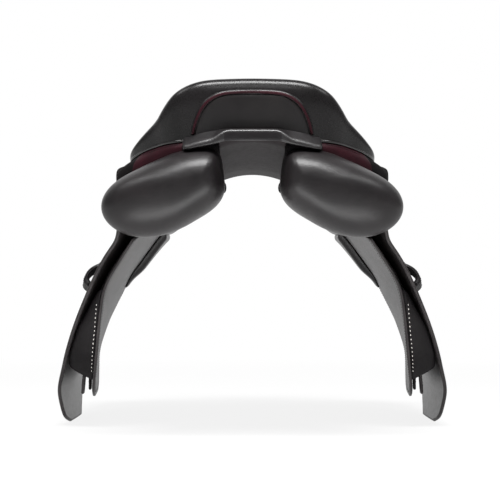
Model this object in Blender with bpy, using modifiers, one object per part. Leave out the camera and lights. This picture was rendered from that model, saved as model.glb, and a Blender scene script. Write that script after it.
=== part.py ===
# Jumping saddle with double flaps: black leather over a tree, dark red trim, foam panels.
# Metres. +Y points to the horse's head, +Z up, +X to the horse's right.
# The origin lies midway between the rear of the panels and the front of the flaps,
# on the centre plane, level with the lowest edge of the flaps.
import math

import bmesh
import bpy
import numpy as np
from mathutils import Matrix, Vector
from mathutils.bvhtree import BVHTree

# Overall sizes. The outlines below are drawn at these sizes and follow them.
SADDLE_LENGTH = 0.530
SADDLE_WIDTH = 0.530
SADDLE_HEIGHT = 0.450
DRAWN_LENGTH, DRAWN_WIDTH, DRAWN_HEIGHT = 0.530, 0.530, 0.450

# Walls and depths of the layers
COVER_WALL = 0.0026
FOAM_DEPTH = 0.0120
WEB_WALL = 0.0015
LINING_WALL = 0.0018
TREE_WALL = 0.0060
ARCH_WALL = 0.0040
INSET_WALL = 0.0012
FLAP_WALL = 0.0050
SWEAT_WALL = 0.0040
SKIRT_WALL = 0.0040
GUARD_WALL = 0.0025
GIRTH_WEB_WALL = 0.0014
STRAP_WALL = 0.0040
BAND_WALL = 0.0030

# Widths and radii
STRAP_WIDTH = 0.025
STRAP_SPACING = 0.075
KEEPER_WIDTH = 0.014
KEEPER_WALL = 0.0046
KEEPER_RISE = 0.0074
PIPING_RADIUS = 0.0016
WELT_RADIUS = 0.0015
DEE_WIRE = 0.0016
DEE_WIDTH = 0.024
NAIL_RADIUS = 0.0065
BAR_LENGTH = 0.092
BAR_HEIGHT = 0.013
BAR_WALL = 0.0042
BAR_PLATE_WALL = 0.0022
BAR_SLOT = 0.0078
BAR_STAND = 0.0022
CATCH_LENGTH = 0.034
CATCH_WALL = 0.0026
CATCH_PIN_RADIUS = 0.0022

GAP = 0.0003            # between pieces that touch
SOFT_GAP = 0.0008       # where two curved leather layers lie on each other
PIN_CLEARANCE = 0.00025

# Half outline of the seat's rim, from the middle of the cantle to the middle of the pommel
RIM = (
    (0.000, -0.2280, 0.4500), (0.055, -0.2270, 0.4480), (0.088, -0.2190, 0.4390),
    (0.104, -0.2040, 0.4225), (0.1145, -0.1880, 0.4055), (0.1370, -0.1630, 0.3850),
    (0.1530, -0.1350, 0.3660), (0.156, -0.1050, 0.3550), (0.140, -0.0700, 0.3480),
    (0.117, -0.0300, 0.3435), (0.099, 0.0050, 0.3415), (0.0925, 0.0500, 0.3415),
    (0.0860, 0.1000, 0.3440), (0.0800, 0.1500, 0.3500), (0.0725, 0.1900, 0.3620),
    (0.050, 0.2170, 0.3800), (0.025, 0.2290, 0.3915), (0.000, 0.2320, 0.3950),
)
# Half outline of the seat cover's lower edge, rib by rib with the rim
HEM = (
    (0.000, -0.2285, 0.3765), (0.055, -0.2275, 0.3765), (0.086, -0.2210, 0.3750),
    (0.106, -0.2060, 0.3700), (0.1215, -0.1880, 0.3645), (0.1425, -0.1630, 0.3570),
    (0.1565, -0.1345, 0.3500), (0.1565, -0.1050, 0.3430), (0.1405, -0.0700, 0.3380),
    (0.1175, -0.0300, 0.3350), (0.0998, 0.0050, 0.3335), (0.0935, 0.0500, 0.3345),
    (0.0872, 0.1000, 0.3360), (0.0810, 0.1500, 0.3380), (0.0735, 0.1900, 0.3410),
    (0.0520, 0.2180, 0.3500), (0.0270, 0.2305, 0.3525), (0.000, 0.2340, 0.3540),
)
# Height of the seat along its middle
SPINE = (
    (-0.175, 0.4130), (-0.150, 0.4010), (-0.100, 0.3830), (-0.050, 0.3720), (0.000, 0.3680),
    (0.050, 0.3700), (0.100, 0.3770), (0.150, 0.3880), (0.200, 0.3965),
)
# How the ribs of the seat meet the rim: rib number, reach inwards, rise
RIB_ENDS = (
    (0, 0.030, -0.003), (3, 0.030, 0.000), (6, 0.036, 0.007), (9, 0.022, 0.013),
    (12, 0.016, 0.014), (14, 0.016, 0.013), (17, 0.020, 0.003),
)
# How the outside of the rim rolls over: rib number, reach outwards
RIM_ROLL = ((0, 0.0150), (3, 0.0135), (5, 0.0080), (8, 0.0050), (13, 0.0045), (15, 0.010), (17, 0.0130))

# Outer face of the flaps: height, then distance from the centre plane at three stations
STATIONS = (-0.10, 0.05, 0.20)
FLAP_FACE = (
    (0.000, 0.2690, 0.2565, 0.2520), (0.040, 0.2705, 0.2580, 0.2550),
    (0.085, 0.2600, 0.2465, 0.2490), (0.128, 0.2455, 0.2320, 0.2360),
    (0.170, 0.2275, 0.2140, 0.2150), (0.213, 0.2065, 0.1925, 0.1920),
    (0.254, 0.1785, 0.1660, 0.1600), (0.290, 0.1765, 0.1350, 0.1210),
    (0.315, 0.1760, 0.1100, 0.0990), (0.335, 0.1730, 0.0890, 0.0800),
    (0.352, 0.1610, 0.0730, 0.0660),
)
# Horse side of the sweat flaps, in the same way
SWEAT_FACE = (
    (0.030, 0.2130, 0.2165, 0.2265), (0.080, 0.2055, 0.2150, 0.2260),
    (0.130, 0.2025, 0.2045, 0.2125), (0.155, 0.2010, 0.1960, 0.2010),
    (0.180, 0.1985, 0.1865, 0.1885), (0.200, 0.1910, 0.1770, 0.1790),
    (0.222, 0.1770, 0.1620, 0.1625), (0.250, 0.1580, 0.1425, 0.1400),
    (0.275, 0.1410, 0.1250, 0.1160), (0.300, 0.1220, 0.1060, 0.0950),
)
# Rear and front edges of the flaps by height
FLAP_REAR = (
    (0.000, 0.048), (0.004, 0.024), (0.012, 0.004), (0.030, -0.014), (0.060, -0.042), (0.100, -0.063),
    (0.150, -0.078), (0.200, -0.088), (0.254, -0.099), (0.300, -0.107), (0.352, -0.103),
)
FLAP_FRONT = (
    (0.000, 0.108), (0.004, 0.128), (0.012, 0.150), (0.030, 0.186), (0.060, 0.222), (0.100, 0.2500),
    (0.140, 0.2630), (0.170, 0.2650), (0.200, 0.2610), (0.240, 0.2470), (0.280, 0.226),
    (0.310, 0.205), (0.352, 0.178),
)
# The line along which a flap bends, below its skirt: at y = 0, and its change along y
BEND_X, BEND_X_SLOPE = 0.1836, -0.0706
BEND_Z, BEND_Z_SLOPE = 0.2367, 0.040
# Rear, front and top edges of the sweat flaps
SWEAT_REAR = (
    (0.038, 0.012), (0.042, -0.014), (0.052, -0.036), (0.070, -0.054), (0.100, -0.070),
    (0.150, -0.078), (0.200, -0.080), (0.250, -0.088), (0.292, -0.088),
)
SWEAT_FRONT = (
    (0.038, 0.080), (0.042, 0.118), (0.052, 0.150), (0.070, 0.182), (0.100, 0.212),
    (0.150, 0.234), (0.200, 0.234), (0.250, 0.222), (0.292, 0.204),
)
SWEAT_TOP = ((-0.090, 0.251), (-0.050, 0.262), (-0.010, 0.278), (0.030, 0.289), (0.205, 0.290))
SWEAT_BOTTOM = 0.038

# Skirts: lower edge along y, and how far the top edge lies under the hem of the seat
SKIRT_ENDS = (0.008, 0.187)
SKIRT_LOW = (
    (0.008, 0.3150), (0.020, 0.2930), (0.045, 0.2660), (0.080, 0.2490), (0.115, 0.2490),
    (0.150, 0.2640), (0.175, 0.2890), (0.187, 0.3150),
)
SKIRT_DROP = 0.0042
SKIRT_SAG = 0.0034                          # extra drop at the middle, which straightens the seam
SKIRT_SKIVED = 0.35                         # share of the wall left along the seam
SKIRT_SEAM = (0.0870, 0.095, 0.3330)       # a point of the line along which a skirt lifts
SKIRT_EDGE_GAP = 0.0008

# Panels. Each station: y, four points of the middle line (x, z), half depth
PANEL_STATIONS = (
    (-0.215, (0.0341, 0.3230), (0.080, 0.3170), (0.130, 0.2990), (0.1880, 0.2865), 0.0468),
    (-0.150, (0.0360, 0.3230), (0.080, 0.3160), (0.126, 0.3030), (0.1780, 0.2880), 0.0415),
    (-0.080, (0.0390, 0.3220), (0.076, 0.3130), (0.114, 0.3005), (0.1580, 0.2840), 0.0290),
    (0.000, (0.0415, 0.3210), (0.071, 0.3080), (0.101, 0.2900), (0.1320, 0.2650), 0.0180),
    (0.080, (0.0440, 0.3230), (0.070, 0.3090), (0.099, 0.2885), (0.1280, 0.2610), 0.0130),
    (0.150, (0.0470, 0.3230), (0.071, 0.3085), (0.099, 0.2880), (0.1260, 0.2600), 0.0110),
    (0.215, (0.0520, 0.3200), (0.076, 0.3055), (0.102, 0.2860), (0.1245, 0.2620), 0.0095),
)
PANEL_REAR = -0.265
PANEL_REAR_ROUND = 0.050
PANEL_FRONT = 0.236
PANEL_FRONT_ROUND = 0.020
PANEL_SQUARE = (3.5, 2.4, 2.0)           # squareness: inner end above, inner end below, outer end
# Front pads of the panels, on the sweat flaps
PAD_REAR = ((0.184, 0.138), (0.200, 0.133), (0.260, 0.127), (0.272, 0.127))
PAD_FRONT = ((0.184, 0.205), (0.200, 0.220), (0.230, 0.224), (0.272, 0.213))
PAD_DEPTH = 0.0085

# The roof of the channel between the panels
CHANNEL_HALF = 0.040
CHANNEL_ROOF = (
    (-0.2300, 0.3730), (-0.200, 0.3690), (-0.150, 0.3620), (-0.100, 0.3560), (-0.050, 0.3500),
    (0.000, 0.3468), (0.100, 0.3475), (0.228, 0.3500),
)
CHANNEL_CAMBER = 0.0070

# Inset panel and piping on the back of the cantle: half outline, x and z
INSET_EDGE = (
    (0.0735, 0.3830), (0.0715, 0.3930), (0.0680, 0.4030), (0.0610, 0.4165), (0.0500, 0.4265),
    (0.0350, 0.4320), (0.0000, 0.4334),
)

# Bridge of leather over the rear of the channel: x, top, bottom
BRIDGE = (
    (0.000, 0.3885, 0.3712), (0.030, 0.3880, 0.3708), (0.045, 0.3868, 0.3685),
    (0.062, 0.3835, 0.3665), (0.076, 0.3795, 0.3645), (0.084, 0.3740, 0.3630),
)
BRIDGE_END = 0.0868
BRIDGE_REAR = -0.2475

# Pads between the two flaps, on the outside of the sweat flap
THIGH_BLOCK_LOW = ((-0.074, 0.0690), (-0.055, 0.0640), (-0.031, 0.0640))
THIGH_BLOCK_SLANT = 0.0150
THIGH_BLOCK_TOP = 0.186
THIGH_BLOCK_FRONT = -0.031
THIGH_BLOCK_DEPTH = ((0.060, 0.0320), (0.085, 0.0345), (0.110, 0.0345), (0.150, 0.0190), (0.186, 0.0050))
KNEE_BLOCK = ((0.110, 0.166, 0.203), (0.150, 0.174, 0.222), (0.200, 0.176, 0.224), (0.240, 0.172, 0.212))
KNEE_BLOCK_DEPTH = ((0.110, 0.0090), (0.150, 0.0110), (0.200, 0.0090), (0.240, 0.0040))

STRAP_MIDDLE_Y = 0.022
STRAP_TOP, STRAP_BOTTOM = 0.257, 0.0435
STRAP_HANG = ((0.0435, 0.0108), (0.090, 0.0095), (0.150, 0.0045), (0.200, 0.0010), (0.257, 0.0008))
GUARD_HEIGHTS = (0.168, 0.238)
KEEPER_Y = -0.060
KEEPER_HEIGHTS = (0.1840, 0.2180)
BAR_MIDDLE_Y, BAR_MIDDLE_Z = 0.080, 0.2955
ARCH_BOW = ((0.000, 0.3580), (0.028, 0.3560), (0.044, 0.3500), (0.060, 0.3400), (0.073, 0.3310))
ARCH_ENDS = (0.168, 0.204)
NAIL_PLACE = (0.056, 0.196, 0.366)
CHAPE_X = 0.058
CHAPE_WIDTH = 0.018
CHAPE_TOP = 0.3620
TAB_Y = -0.150

BLACK = (0.018, 0.017, 0.018)
BLACK_GRAIN = (0.026, 0.024, 0.025)
FLESH = (0.060, 0.056, 0.056)
DARK_RED = (0.070, 0.012, 0.022)
FOAM = (0.62, 0.58, 0.46)
TREE = (0.10, 0.10, 0.11)
STEEL = (0.55, 0.55, 0.56)
WEB = (0.55, 0.48, 0.36)

SX = SADDLE_WIDTH / DRAWN_WIDTH
SY = SADDLE_LENGTH / DRAWN_LENGTH
SZ = SADDLE_HEIGHT / DRAWN_HEIGHT


def clear_scene():
    for item in list(bpy.data.objects):
        bpy.data.objects.remove(item, do_unlink=True)


def new_collection(name):
    collection = bpy.data.collections.new(name)
    bpy.context.scene.collection.children.link(collection)
    return collection


def new_material(name, colour, roughness=0.5, metallic=0.0):
    material = bpy.data.materials.new(name)
    material.use_nodes = True
    shader = material.node_tree.nodes["Principled BSDF"]
    shader.inputs["Base Color"].default_value = (*colour, 1.0)
    shader.inputs["Roughness"].default_value = roughness
    shader.inputs["Metallic"].default_value = metallic
    material.diffuse_color = (*colour, 1.0)
    return material


# Curves and fields

def slopes_of(knots, values):
    """Slopes at the knots that let no piece of the curve overshoot (values on the last axis)."""
    step = np.diff(knots)
    chord = np.diff(values, axis=-1) / step
    slope = np.zeros_like(values)
    slope[..., 0] = chord[..., 0]
    slope[..., -1] = chord[..., -1]
    before, after = chord[..., :-1], chord[..., 1:]
    w1 = 2 * step[1:] + step[:-1]
    w2 = step[1:] + 2 * step[:-1]
    same = before * after > 0
    safe_before = np.where(same, before, 1.0)
    safe_after = np.where(same, after, 1.0)
    slope[..., 1:-1] = np.where(same, (w1 + w2) / (w1 / safe_before + w2 / safe_after), 0.0)
    return slope


def follow(knots, values, where):
    """Value at each place of the smooth curve through the knots; ends are held."""
    knots = np.asarray(knots, float)
    where = np.clip(np.asarray(where, float), knots[0], knots[-1])
    values = np.broadcast_to(np.asarray(values, float), where.shape + (len(knots),))
    slope = slopes_of(knots, values)
    piece = np.clip(np.searchsorted(knots, where, side="right") - 1, 0, len(knots) - 2)
    width = knots[piece + 1] - knots[piece]
    t = (where - knots[piece]) / width

    def pick(table, index):
        return np.take_along_axis(table, index[..., None], axis=-1)[..., 0]

    a, b = pick(values, piece), pick(values, piece + 1)
    da, db = pick(slope, piece) * width, pick(slope, piece + 1) * width
    return (
        a * (1 + 2 * t) * (1 - t) ** 2 + da * t * (1 - t) ** 2
        + b * t * t * (3 - 2 * t) + db * t * t * (t - 1)
    )


def rows(table, where, columns=(1,)):
    """Columns of a table whose first column is the knot."""
    table = np.asarray(table, float)
    found = [follow(table[:, 0], table[:, c], where) for c in columns]
    return found[0] if len(found) == 1 else found


def through(points, count):
    """Even points along a smooth curve through control points."""
    points = np.asarray(points, float)
    gaps = np.linalg.norm(np.diff(points, axis=0), axis=1)
    along = np.concatenate([[0.0], np.cumsum(gaps)])
    where = np.linspace(0, along[-1], count)
    return np.stack([follow(along, points[:, k], where) for k in range(points.shape[1])], axis=-1)


def face_field(table, y, z):
    """Distance from the centre plane of a side layer: table by height, quadratic along y."""
    table = np.asarray(table, float)
    y = np.asarray(y, float) / SY
    z = np.asarray(z, float) / SZ
    rear, middle, front = table[:, 1], table[:, 2], table[:, 3]
    t = ((y - STATIONS[1]) / (STATIONS[1] - STATIONS[0]))[..., None]
    inside = np.clip(t, -1.0, 1.0)
    bow = 0.5 * (front + rear - 2 * middle)
    lean = 0.5 * (front - rear)
    at_y = middle + lean * inside + bow * inside ** 2 + (lean + 2 * bow * inside) * (t - inside)
    return follow(table[:, 0], at_y, z) * SX


def flap_face(y, z):
    return face_field(FLAP_FACE, y, z)


def sweat_face(y, z):
    return face_field(SWEAT_FACE, y, z)


def slanted(field, y, z, wall):
    """Thickness across x of a wall that follows a slanted field."""
    step = 0.001
    by_y = (field(y + step, z) - field(y - step, z)) / (2 * step)
    by_z = (field(y, z + step) - field(y, z - step)) / (2 * step)
    return wall * np.sqrt(1 + by_y ** 2 + by_z ** 2)


def flap_inner(y, z):
    return flap_face(y, z) - slanted(flap_face, y, z, FLAP_WALL)


def sweat_outer(y, z):
    return sweat_face(y, z) + slanted(sweat_face, y, z, SWEAT_WALL)


def bend_z(y):
    return (BEND_Z + BEND_Z_SLOPE * np.asarray(y) / SY) * SZ


def bend_point(side):
    """A point of the line along which a flap bends."""
    y = 0.080
    return (side * (BEND_X + BEND_X_SLOPE * y) * SX, y * SY, (BEND_Z + BEND_Z_SLOPE * y) * SZ)


def seam_point(side):
    """A point of the line along which a skirt lifts, under the hem of the seat."""
    return (side * SKIRT_SEAM[0] * SX, SKIRT_SEAM[1] * SY, SKIRT_SEAM[2] * SZ)


# Meshes

def grid_faces(n, m, flip=False, closed=False):
    """Triangles of an n by m grid; closed joins the last column to the first.

    Every grid is split alike, along one diagonal up to its middle row and along the other
    after it, so layers drawn on the same grid keep their distance."""
    columns = m if closed else m - 1
    i, j = np.meshgrid(np.arange(n - 1), np.arange(columns), indexing="ij")
    i, j = i.ravel(), j.ravel()
    k = (j + 1) % m
    a, b, c, d = i * m + j, (i + 1) * m + j, (i + 1) * m + k, i * m + k
    late = (i >= (n - 1) // 2)[:, None]
    first = np.where(late, np.stack([a, b, d], axis=1), np.stack([a, b, c], axis=1))
    second = np.where(late, np.stack([b, c, d], axis=1), np.stack([a, c, d], axis=1))
    faces = np.concatenate([first, second])
    return faces[:, ::-1] if flip else faces


def add_object(name, points, faces, material, collection, smooth=True):
    mesh = bpy.data.meshes.new(name)
    mesh.from_pydata([tuple(p) for p in points], [], [tuple(int(i) for i in f) for f in faces])
    mesh.validate()
    build = bmesh.new()
    build.from_mesh(mesh)
    bmesh.ops.remove_doubles(build, verts=build.verts, dist=1e-6)
    build.to_mesh(mesh)
    build.free()
    if smooth:
        mesh.shade_smooth()
        mesh.set_sharp_from_angle(angle=math.radians(40))
    mesh.materials.append(material)
    item = bpy.data.objects.new(name, mesh)
    collection.objects.link(item)
    return item


def face_out(item):
    """Turns a closed mesh's faces outwards."""
    build = bmesh.new()
    build.from_mesh(item.data)
    bmesh.ops.recalc_face_normals(build, faces=build.faces)
    if build.calc_volume(signed=True) < 0:
        bmesh.ops.reverse_faces(build, faces=build.faces)
    build.to_mesh(item.data)
    build.free()
    item.data.shade_smooth()
    item.data.set_sharp_from_angle(angle=math.radians(40))
    return item


def mirror_x(points, side):
    points = np.array(points, float)
    points[..., 0] *= side
    return points


def solid_between(name, first, second, material, collection, side=1):
    """Closed solid between two grids of the same shape, joined round their edges."""
    first, second = mirror_x(first, side), mirror_x(second, side)
    n, m = first.shape[:2]
    points = np.concatenate([first.reshape(-1, 3), second.reshape(-1, 3)])
    base = n * m
    faces = [tuple(f) for f in grid_faces(n, m)]
    faces += [tuple(f + base) for f in grid_faces(n, m, flip=True)]
    border = (
        [i * m for i in range(n)] + [(n - 1) * m + j for j in range(1, m)]
        + [i * m + m - 1 for i in range(n - 2, -1, -1)] + list(range(m - 2, 0, -1))
    )
    for a, b in zip(border, border[1:] + border[:1]):
        faces.append((a, b, b + base, a + base))
    return face_out(add_object(name, points, faces, material, collection))


def loft(name, sections, material, collection, side=1):
    """Closed solid through closed sections, capped flat at both ends."""
    sections = mirror_x(sections, side)
    n, m = sections.shape[:2]
    faces = [tuple(f) for f in grid_faces(n, m, closed=True)]
    faces.append(tuple(range(m)))
    faces.append(tuple(range((n - 1) * m, n * m)))
    return face_out(add_object(name, sections.reshape(-1, 3), faces, material, collection))


def extruded(name, outline, depth, place, material, collection):
    """Flat outline (x, y) given a depth along z, both ways, then placed."""
    curve = bpy.data.curves.new(name, "CURVE")
    curve.dimensions = "2D"
    curve.fill_mode = "BOTH"
    curve.extrude = depth / 2
    spline = curve.splines.new("POLY")
    spline.points.add(len(outline) - 1)
    for point, (x, y) in zip(spline.points, outline):
        point.co = (x, y, 0, 1)
    spline.use_cyclic_u = True
    curve.materials.append(material)
    item = bpy.data.objects.new(name, curve)
    collection.objects.link(item)
    item.matrix_world = place
    return item


def tube(name, points, radius, material, collection, cyclic=False, resolution=2):
    curve = bpy.data.curves.new(name, "CURVE")
    curve.dimensions = "3D"
    curve.bevel_depth = radius
    curve.bevel_resolution = resolution
    curve.use_fill_caps = not cyclic
    spline = curve.splines.new("POLY")
    spline.points.add(len(points) - 1)
    for point, place in zip(spline.points, points):
        point.co = (*[float(v) for v in place], 1)
    spline.use_cyclic_u = cyclic
    curve.materials.append(material)
    item = bpy.data.objects.new(name, curve)
    collection.objects.link(item)
    return item


def as_mesh(item):
    """Replaces a curve by the mesh it draws, with its caps welded."""
    bpy.context.view_layer.update()
    graph = bpy.context.evaluated_depsgraph_get()
    mesh = bpy.data.meshes.new_from_object(item.evaluated_get(graph))
    build = bmesh.new()
    build.from_mesh(mesh)
    bmesh.ops.remove_doubles(build, verts=build.verts, dist=1e-6)
    build.to_mesh(mesh)
    build.free()
    name, matrix, collection = item.name, item.matrix_world.copy(), item.users_collection[0]
    bpy.data.objects.remove(item, do_unlink=True)
    made = bpy.data.objects.new(name, mesh)
    collection.objects.link(made)
    made.matrix_world = matrix
    return made


def hinge_at(item, place):
    """Moves a piece's origin onto its joint's axis; the piece itself stays where it is."""
    item.data.transform(Matrix.Translation(-Vector(place)))
    item.location = Vector(place)
    return item


def join_solid(item, other):
    """Boolean union of two meshes, keeping the first's name."""
    modifier = item.modifiers.new("join", "BOOLEAN")
    modifier.operation = "UNION"
    modifier.object = other


def surface_tree(item):
    bpy.context.view_layer.update()
    graph = bpy.context.evaluated_depsgraph_get()
    return BVHTree.FromObject(item, graph)


def frame_matrix(origin, x_axis, y_axis, z_axis):
    matrix = Matrix.Identity(4)
    for column, axis in enumerate((x_axis, y_axis, z_axis, origin)):
        for row in range(3):
            matrix[row][column] = axis[row]
    return matrix


def sides():
    return (("left", -1), ("right", 1))


def layer_grid(rear, front, low, high, rows_count, columns, bunch=0.0):
    """Grid of (y, z) over a side layer: rows from low to high, columns from rear to front."""
    h = np.linspace(0, 1, rows_count)
    if bunch:
        h = (1 - bunch) * h + bunch * (1 - np.cos(0.5 * np.pi * h))
    across = np.linspace(0, 1, columns)
    level, a = np.meshgrid(h, across, indexing="ij")
    y = np.zeros_like(level)
    z = np.zeros_like(level)
    for _ in range(6):
        y = rear(z) + (front(z) - rear(z)) * a
        z = low(y) + (high(y) - low(y)) * level
    return y, z


def on_side(x, y, z):
    return np.stack([x, y, z], axis=-1)


# The seat

def seat_ribs(drop=0.0, inset=0.0, sink=0.0, inner=9, outer=6):
    """Half of a seat surface: ribs from the middle over the rim down to the hem.

    drop lowers the middle, inset draws the rim in and sink lowers the rim."""
    scale = np.array([SX, SY, SZ])
    rim_points, hem_points = np.array(RIM) * scale, np.array(HEM) * scale
    number = np.arange(len(RIM), dtype=float)
    where = np.concatenate([np.linspace(0, 7, 12), np.linspace(7, len(RIM) - 1, 12)[1:]])
    ribs = len(where)
    rim = np.stack([follow(number, rim_points[:, k], where) for k in range(3)], axis=-1)
    hem = np.stack([follow(number, hem_points[:, k], where) for k in range(3)], axis=-1)
    reach, rise = rows(RIB_ENDS, where, (1, 2))
    roll = rows(RIM_ROLL, where)

    run = np.gradient(rim[:, :2], axis=0)
    run /= np.linalg.norm(run, axis=1)[:, None]
    outward = np.stack([run[:, 1], -run[:, 0]], axis=1)
    outward[0], outward[-1] = (0, -1), (0, 1)

    rim = rim.copy()
    rim[:, :2] -= outward * inset
    rim[:, 2] -= sink
    rim[0, 0] = rim[-1, 0] = 0.0

    bound = np.where(rim[:, 1] < 0, 0.19, 0.28) * SY
    middle_y = bound * np.tanh(rim[:, 1] / bound)
    middle_z = rows(np.array(SPINE) * [SY, SZ], middle_y) - drop
    tilt = (rows(np.array(SPINE) * [SY, SZ], middle_y + 0.002)
            - rows(np.array(SPINE) * [SY, SZ], middle_y - 0.002)) / 0.004
    middle = np.stack([np.zeros(ribs), middle_y, middle_z], axis=-1)

    flat = rim[:, :2] - middle[:, :2]
    handle_a = middle.copy()
    handle_a[:, :2] += flat * 0.42
    handle_a[:, 2] += tilt * flat[:, 1] * 0.42
    handle_b = rim.copy()
    limit = np.minimum(reach, 0.45 * np.linalg.norm(flat, axis=1))
    handle_b[:, :2] -= flat / np.linalg.norm(flat, axis=1)[:, None] * limit[:, None]
    handle_b[:, 2] += rise

    def bezier(a, b, c, d, t):
        t = t[None, :, None]
        a, b, c, d = (p[:, None, :] for p in (a, b, c, d))
        return a * (1 - t) ** 3 + 3 * b * t * (1 - t) ** 2 + 3 * c * t * t * (1 - t) + d * t ** 3

    top = bezier(middle, handle_a, handle_b, rim, np.linspace(0, 1, inner))
    if not outer:
        top[0, :, 0] = top[-1, :, 0] = 0.0
        return top
    over = rim.copy()
    over[:, :2] += outward * roll[:, None]
    over[:, 2] -= rise * 0.35
    under = hem.copy()
    under[:, :2] += outward * roll[:, None] * 0.35
    under[:, 2] += 0.45 * (rim[:, 2] - hem[:, 2])
    side = bezier(rim, over, under, hem, np.linspace(0, 1, outer))[:, 1:]
    both = np.concatenate([top, side], axis=1)
    both[0, :, 0] = both[-1, :, 0] = 0.0
    return both


def grid_normals(grid):
    """Unit normals of a half grid, kept in the centre plane along it."""
    along = np.gradient(grid, axis=0)
    across = np.gradient(grid, axis=1)
    normal = np.cross(across, along)
    on_plane = np.abs(grid[..., 0]) < 1e-9
    normal[on_plane, 0] = 0.0
    normal[0, 0], normal[-1, 0] = normal[1, 0], normal[-2, 0]
    return normal / np.maximum(np.linalg.norm(normal, axis=-1, keepdims=True), 1e-12)


def mirrored_shell(name, upper, lower, material, collection):
    """Solid between two half grids, open in the centre plane and mirrored across it."""
    n, m = upper.shape[:2]
    points = np.concatenate([upper.reshape(-1, 3), lower.reshape(-1, 3)])
    base = n * m
    faces = [tuple(f) for f in grid_faces(n, m)]
    faces += [tuple(f + base) for f in grid_faces(n, m, flip=True)]
    edges = [[(i + 1) * m - 1 for i in range(n)]]
    if upper[1, 0, 0] > 1e-6:
        edges.append([i * m for i in range(n - 1, -1, -1)])
    for line in edges:
        for a, b in zip(line, line[1:]):
            faces.append((a, b, b + base, a + base))
    item = add_object(name, points, faces, material, collection)
    build = bmesh.new()
    build.from_mesh(item.data)
    flat = [e for e in build.edges if e.is_boundary]
    bmesh.ops.recalc_face_normals(build, faces=build.faces)
    top = max(build.faces, key=lambda f: f.calc_center_median().z)
    if top.normal.z < 0:
        bmesh.ops.reverse_faces(build, faces=build.faces)
    for edge in flat:
        for vertex in edge.verts:
            vertex.co.x = 0.0
    build.to_mesh(item.data)
    build.free()
    modifier = item.modifiers.new("mirror", "MIRROR")
    modifier.use_clip = True
    modifier.merge_threshold = 0.00002
    return item


def make_seat(looks, collection):
    cover = seat_ribs()
    normal = grid_normals(cover)
    seat = mirrored_shell("seat_cover", cover, cover - normal * COVER_WALL, looks["seat"], collection)

    count = len(cover)
    upper = (cover - normal * (COVER_WALL + GAP))[:, :9]
    upper[:, -1] -= (upper[:, -1] - upper[:, -2]) * [0.55, 0.55, 0.40]
    rear = np.clip(1 - np.linspace(0, 1, count) * 2.0, 0, 1)
    sink = 0.010 + 0.010 * rear
    drop = COVER_WALL + GAP + FOAM_DEPTH
    lower = seat_ribs(drop=drop, inset=0.0125 * SX, sink=sink, outer=0)
    mirrored_shell("seat_foam", upper, lower, looks["foam"], collection)

    tree_top = lower - [0, 0, 2 * GAP]
    tree_low = tree_top - grid_normals(tree_top) * TREE_WALL
    mirrored_shell("tree", tree_top[:, 4:], tree_low[:, 4:], looks["tree"], collection)

    web_top = tree_top[2:count - 1, :5] * [0.950, 1, 1] - [0, 0, 4 * GAP]
    web_low = web_top - [0, 0, WEB_WALL]
    half_sheet("seat_webbing", web_top, web_low, looks["web"], collection)
    return seat


def half_sheet(name, upper, lower, material, collection):
    """Solid between two half grids that cross the centre plane along their first column."""
    both = [np.concatenate([g[:, :0:-1] * [-1, 1, 1], g], axis=1) for g in (upper, lower)]
    return solid_between(name, both[0], both[1], material, collection)


def make_cantle_trim(seat, looks, collection):
    """Inset panel and piping, laid on the back of the cantle by casting onto it."""
    back = surface_tree(seat)
    behind = -0.40 * SY

    def laid(x, z, lift):
        hit, normal, _, _ = back.ray_cast(Vector((x, behind, z)), Vector((0, 1, 0)))
        return np.array(hit + normal * lift)

    half = through(np.array(INSET_EDGE) * [SX, SZ], 17)
    edge = np.concatenate([half, half[-2::-1] * [-1, 1]])
    rest = PIPING_RADIUS + GAP
    path = [laid(x, z, rest) for x, z in edge]
    tube("cantle_piping", path, PIPING_RADIUS, looks["red"], collection, resolution=1)

    # Rows of the inset run between the two legs of the piping, from the bridge up to its bow
    spare = PIPING_RADIUS + 0.0012
    low = (BRIDGE[0][1] + 0.0012) * SZ
    top = half[:, 1].max() - spare
    order = np.argsort(half[:, 1])
    outer, inner = [], []
    for share in 1 - (1 - np.linspace(0, 1, 7)) ** 1.5:
        z = low + share * (top - low)
        reach = np.interp(z + spare * share ** 3, half[order, 1], half[order, 0]) - spare
        row = [u * reach for u in np.linspace(-1, 1, 13)]
        outer.append([laid(x, z, GAP + INSET_WALL + 0.0003) for x in row])
        inner.append([laid(x, z, GAP + 0.0003) for x in row])
    solid_between("cantle_inset", np.array(outer), np.array(inner), looks["seat"], collection)


# The channel and the bridge

def roof_height(x, y):
    middle = rows(np.array(CHANNEL_ROOF) * [SY, SZ], y)
    return middle - CHANNEL_CAMBER * (np.asarray(x) / (CHANNEL_HALF * SX)) ** 2


def make_channel(looks, collection):
    ends = CHANNEL_ROOF[0][0] * SY, CHANNEL_ROOF[-1][0] * SY
    y, x = np.meshgrid(np.linspace(*ends, 14), np.linspace(-1, 1, 7) * CHANNEL_HALF * SX, indexing="ij")
    low = on_side(x, y, roof_height(x, y))
    solid_between("channel_lining", low + [0, 0, LINING_WALL], low, looks["grain"], collection)


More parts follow.
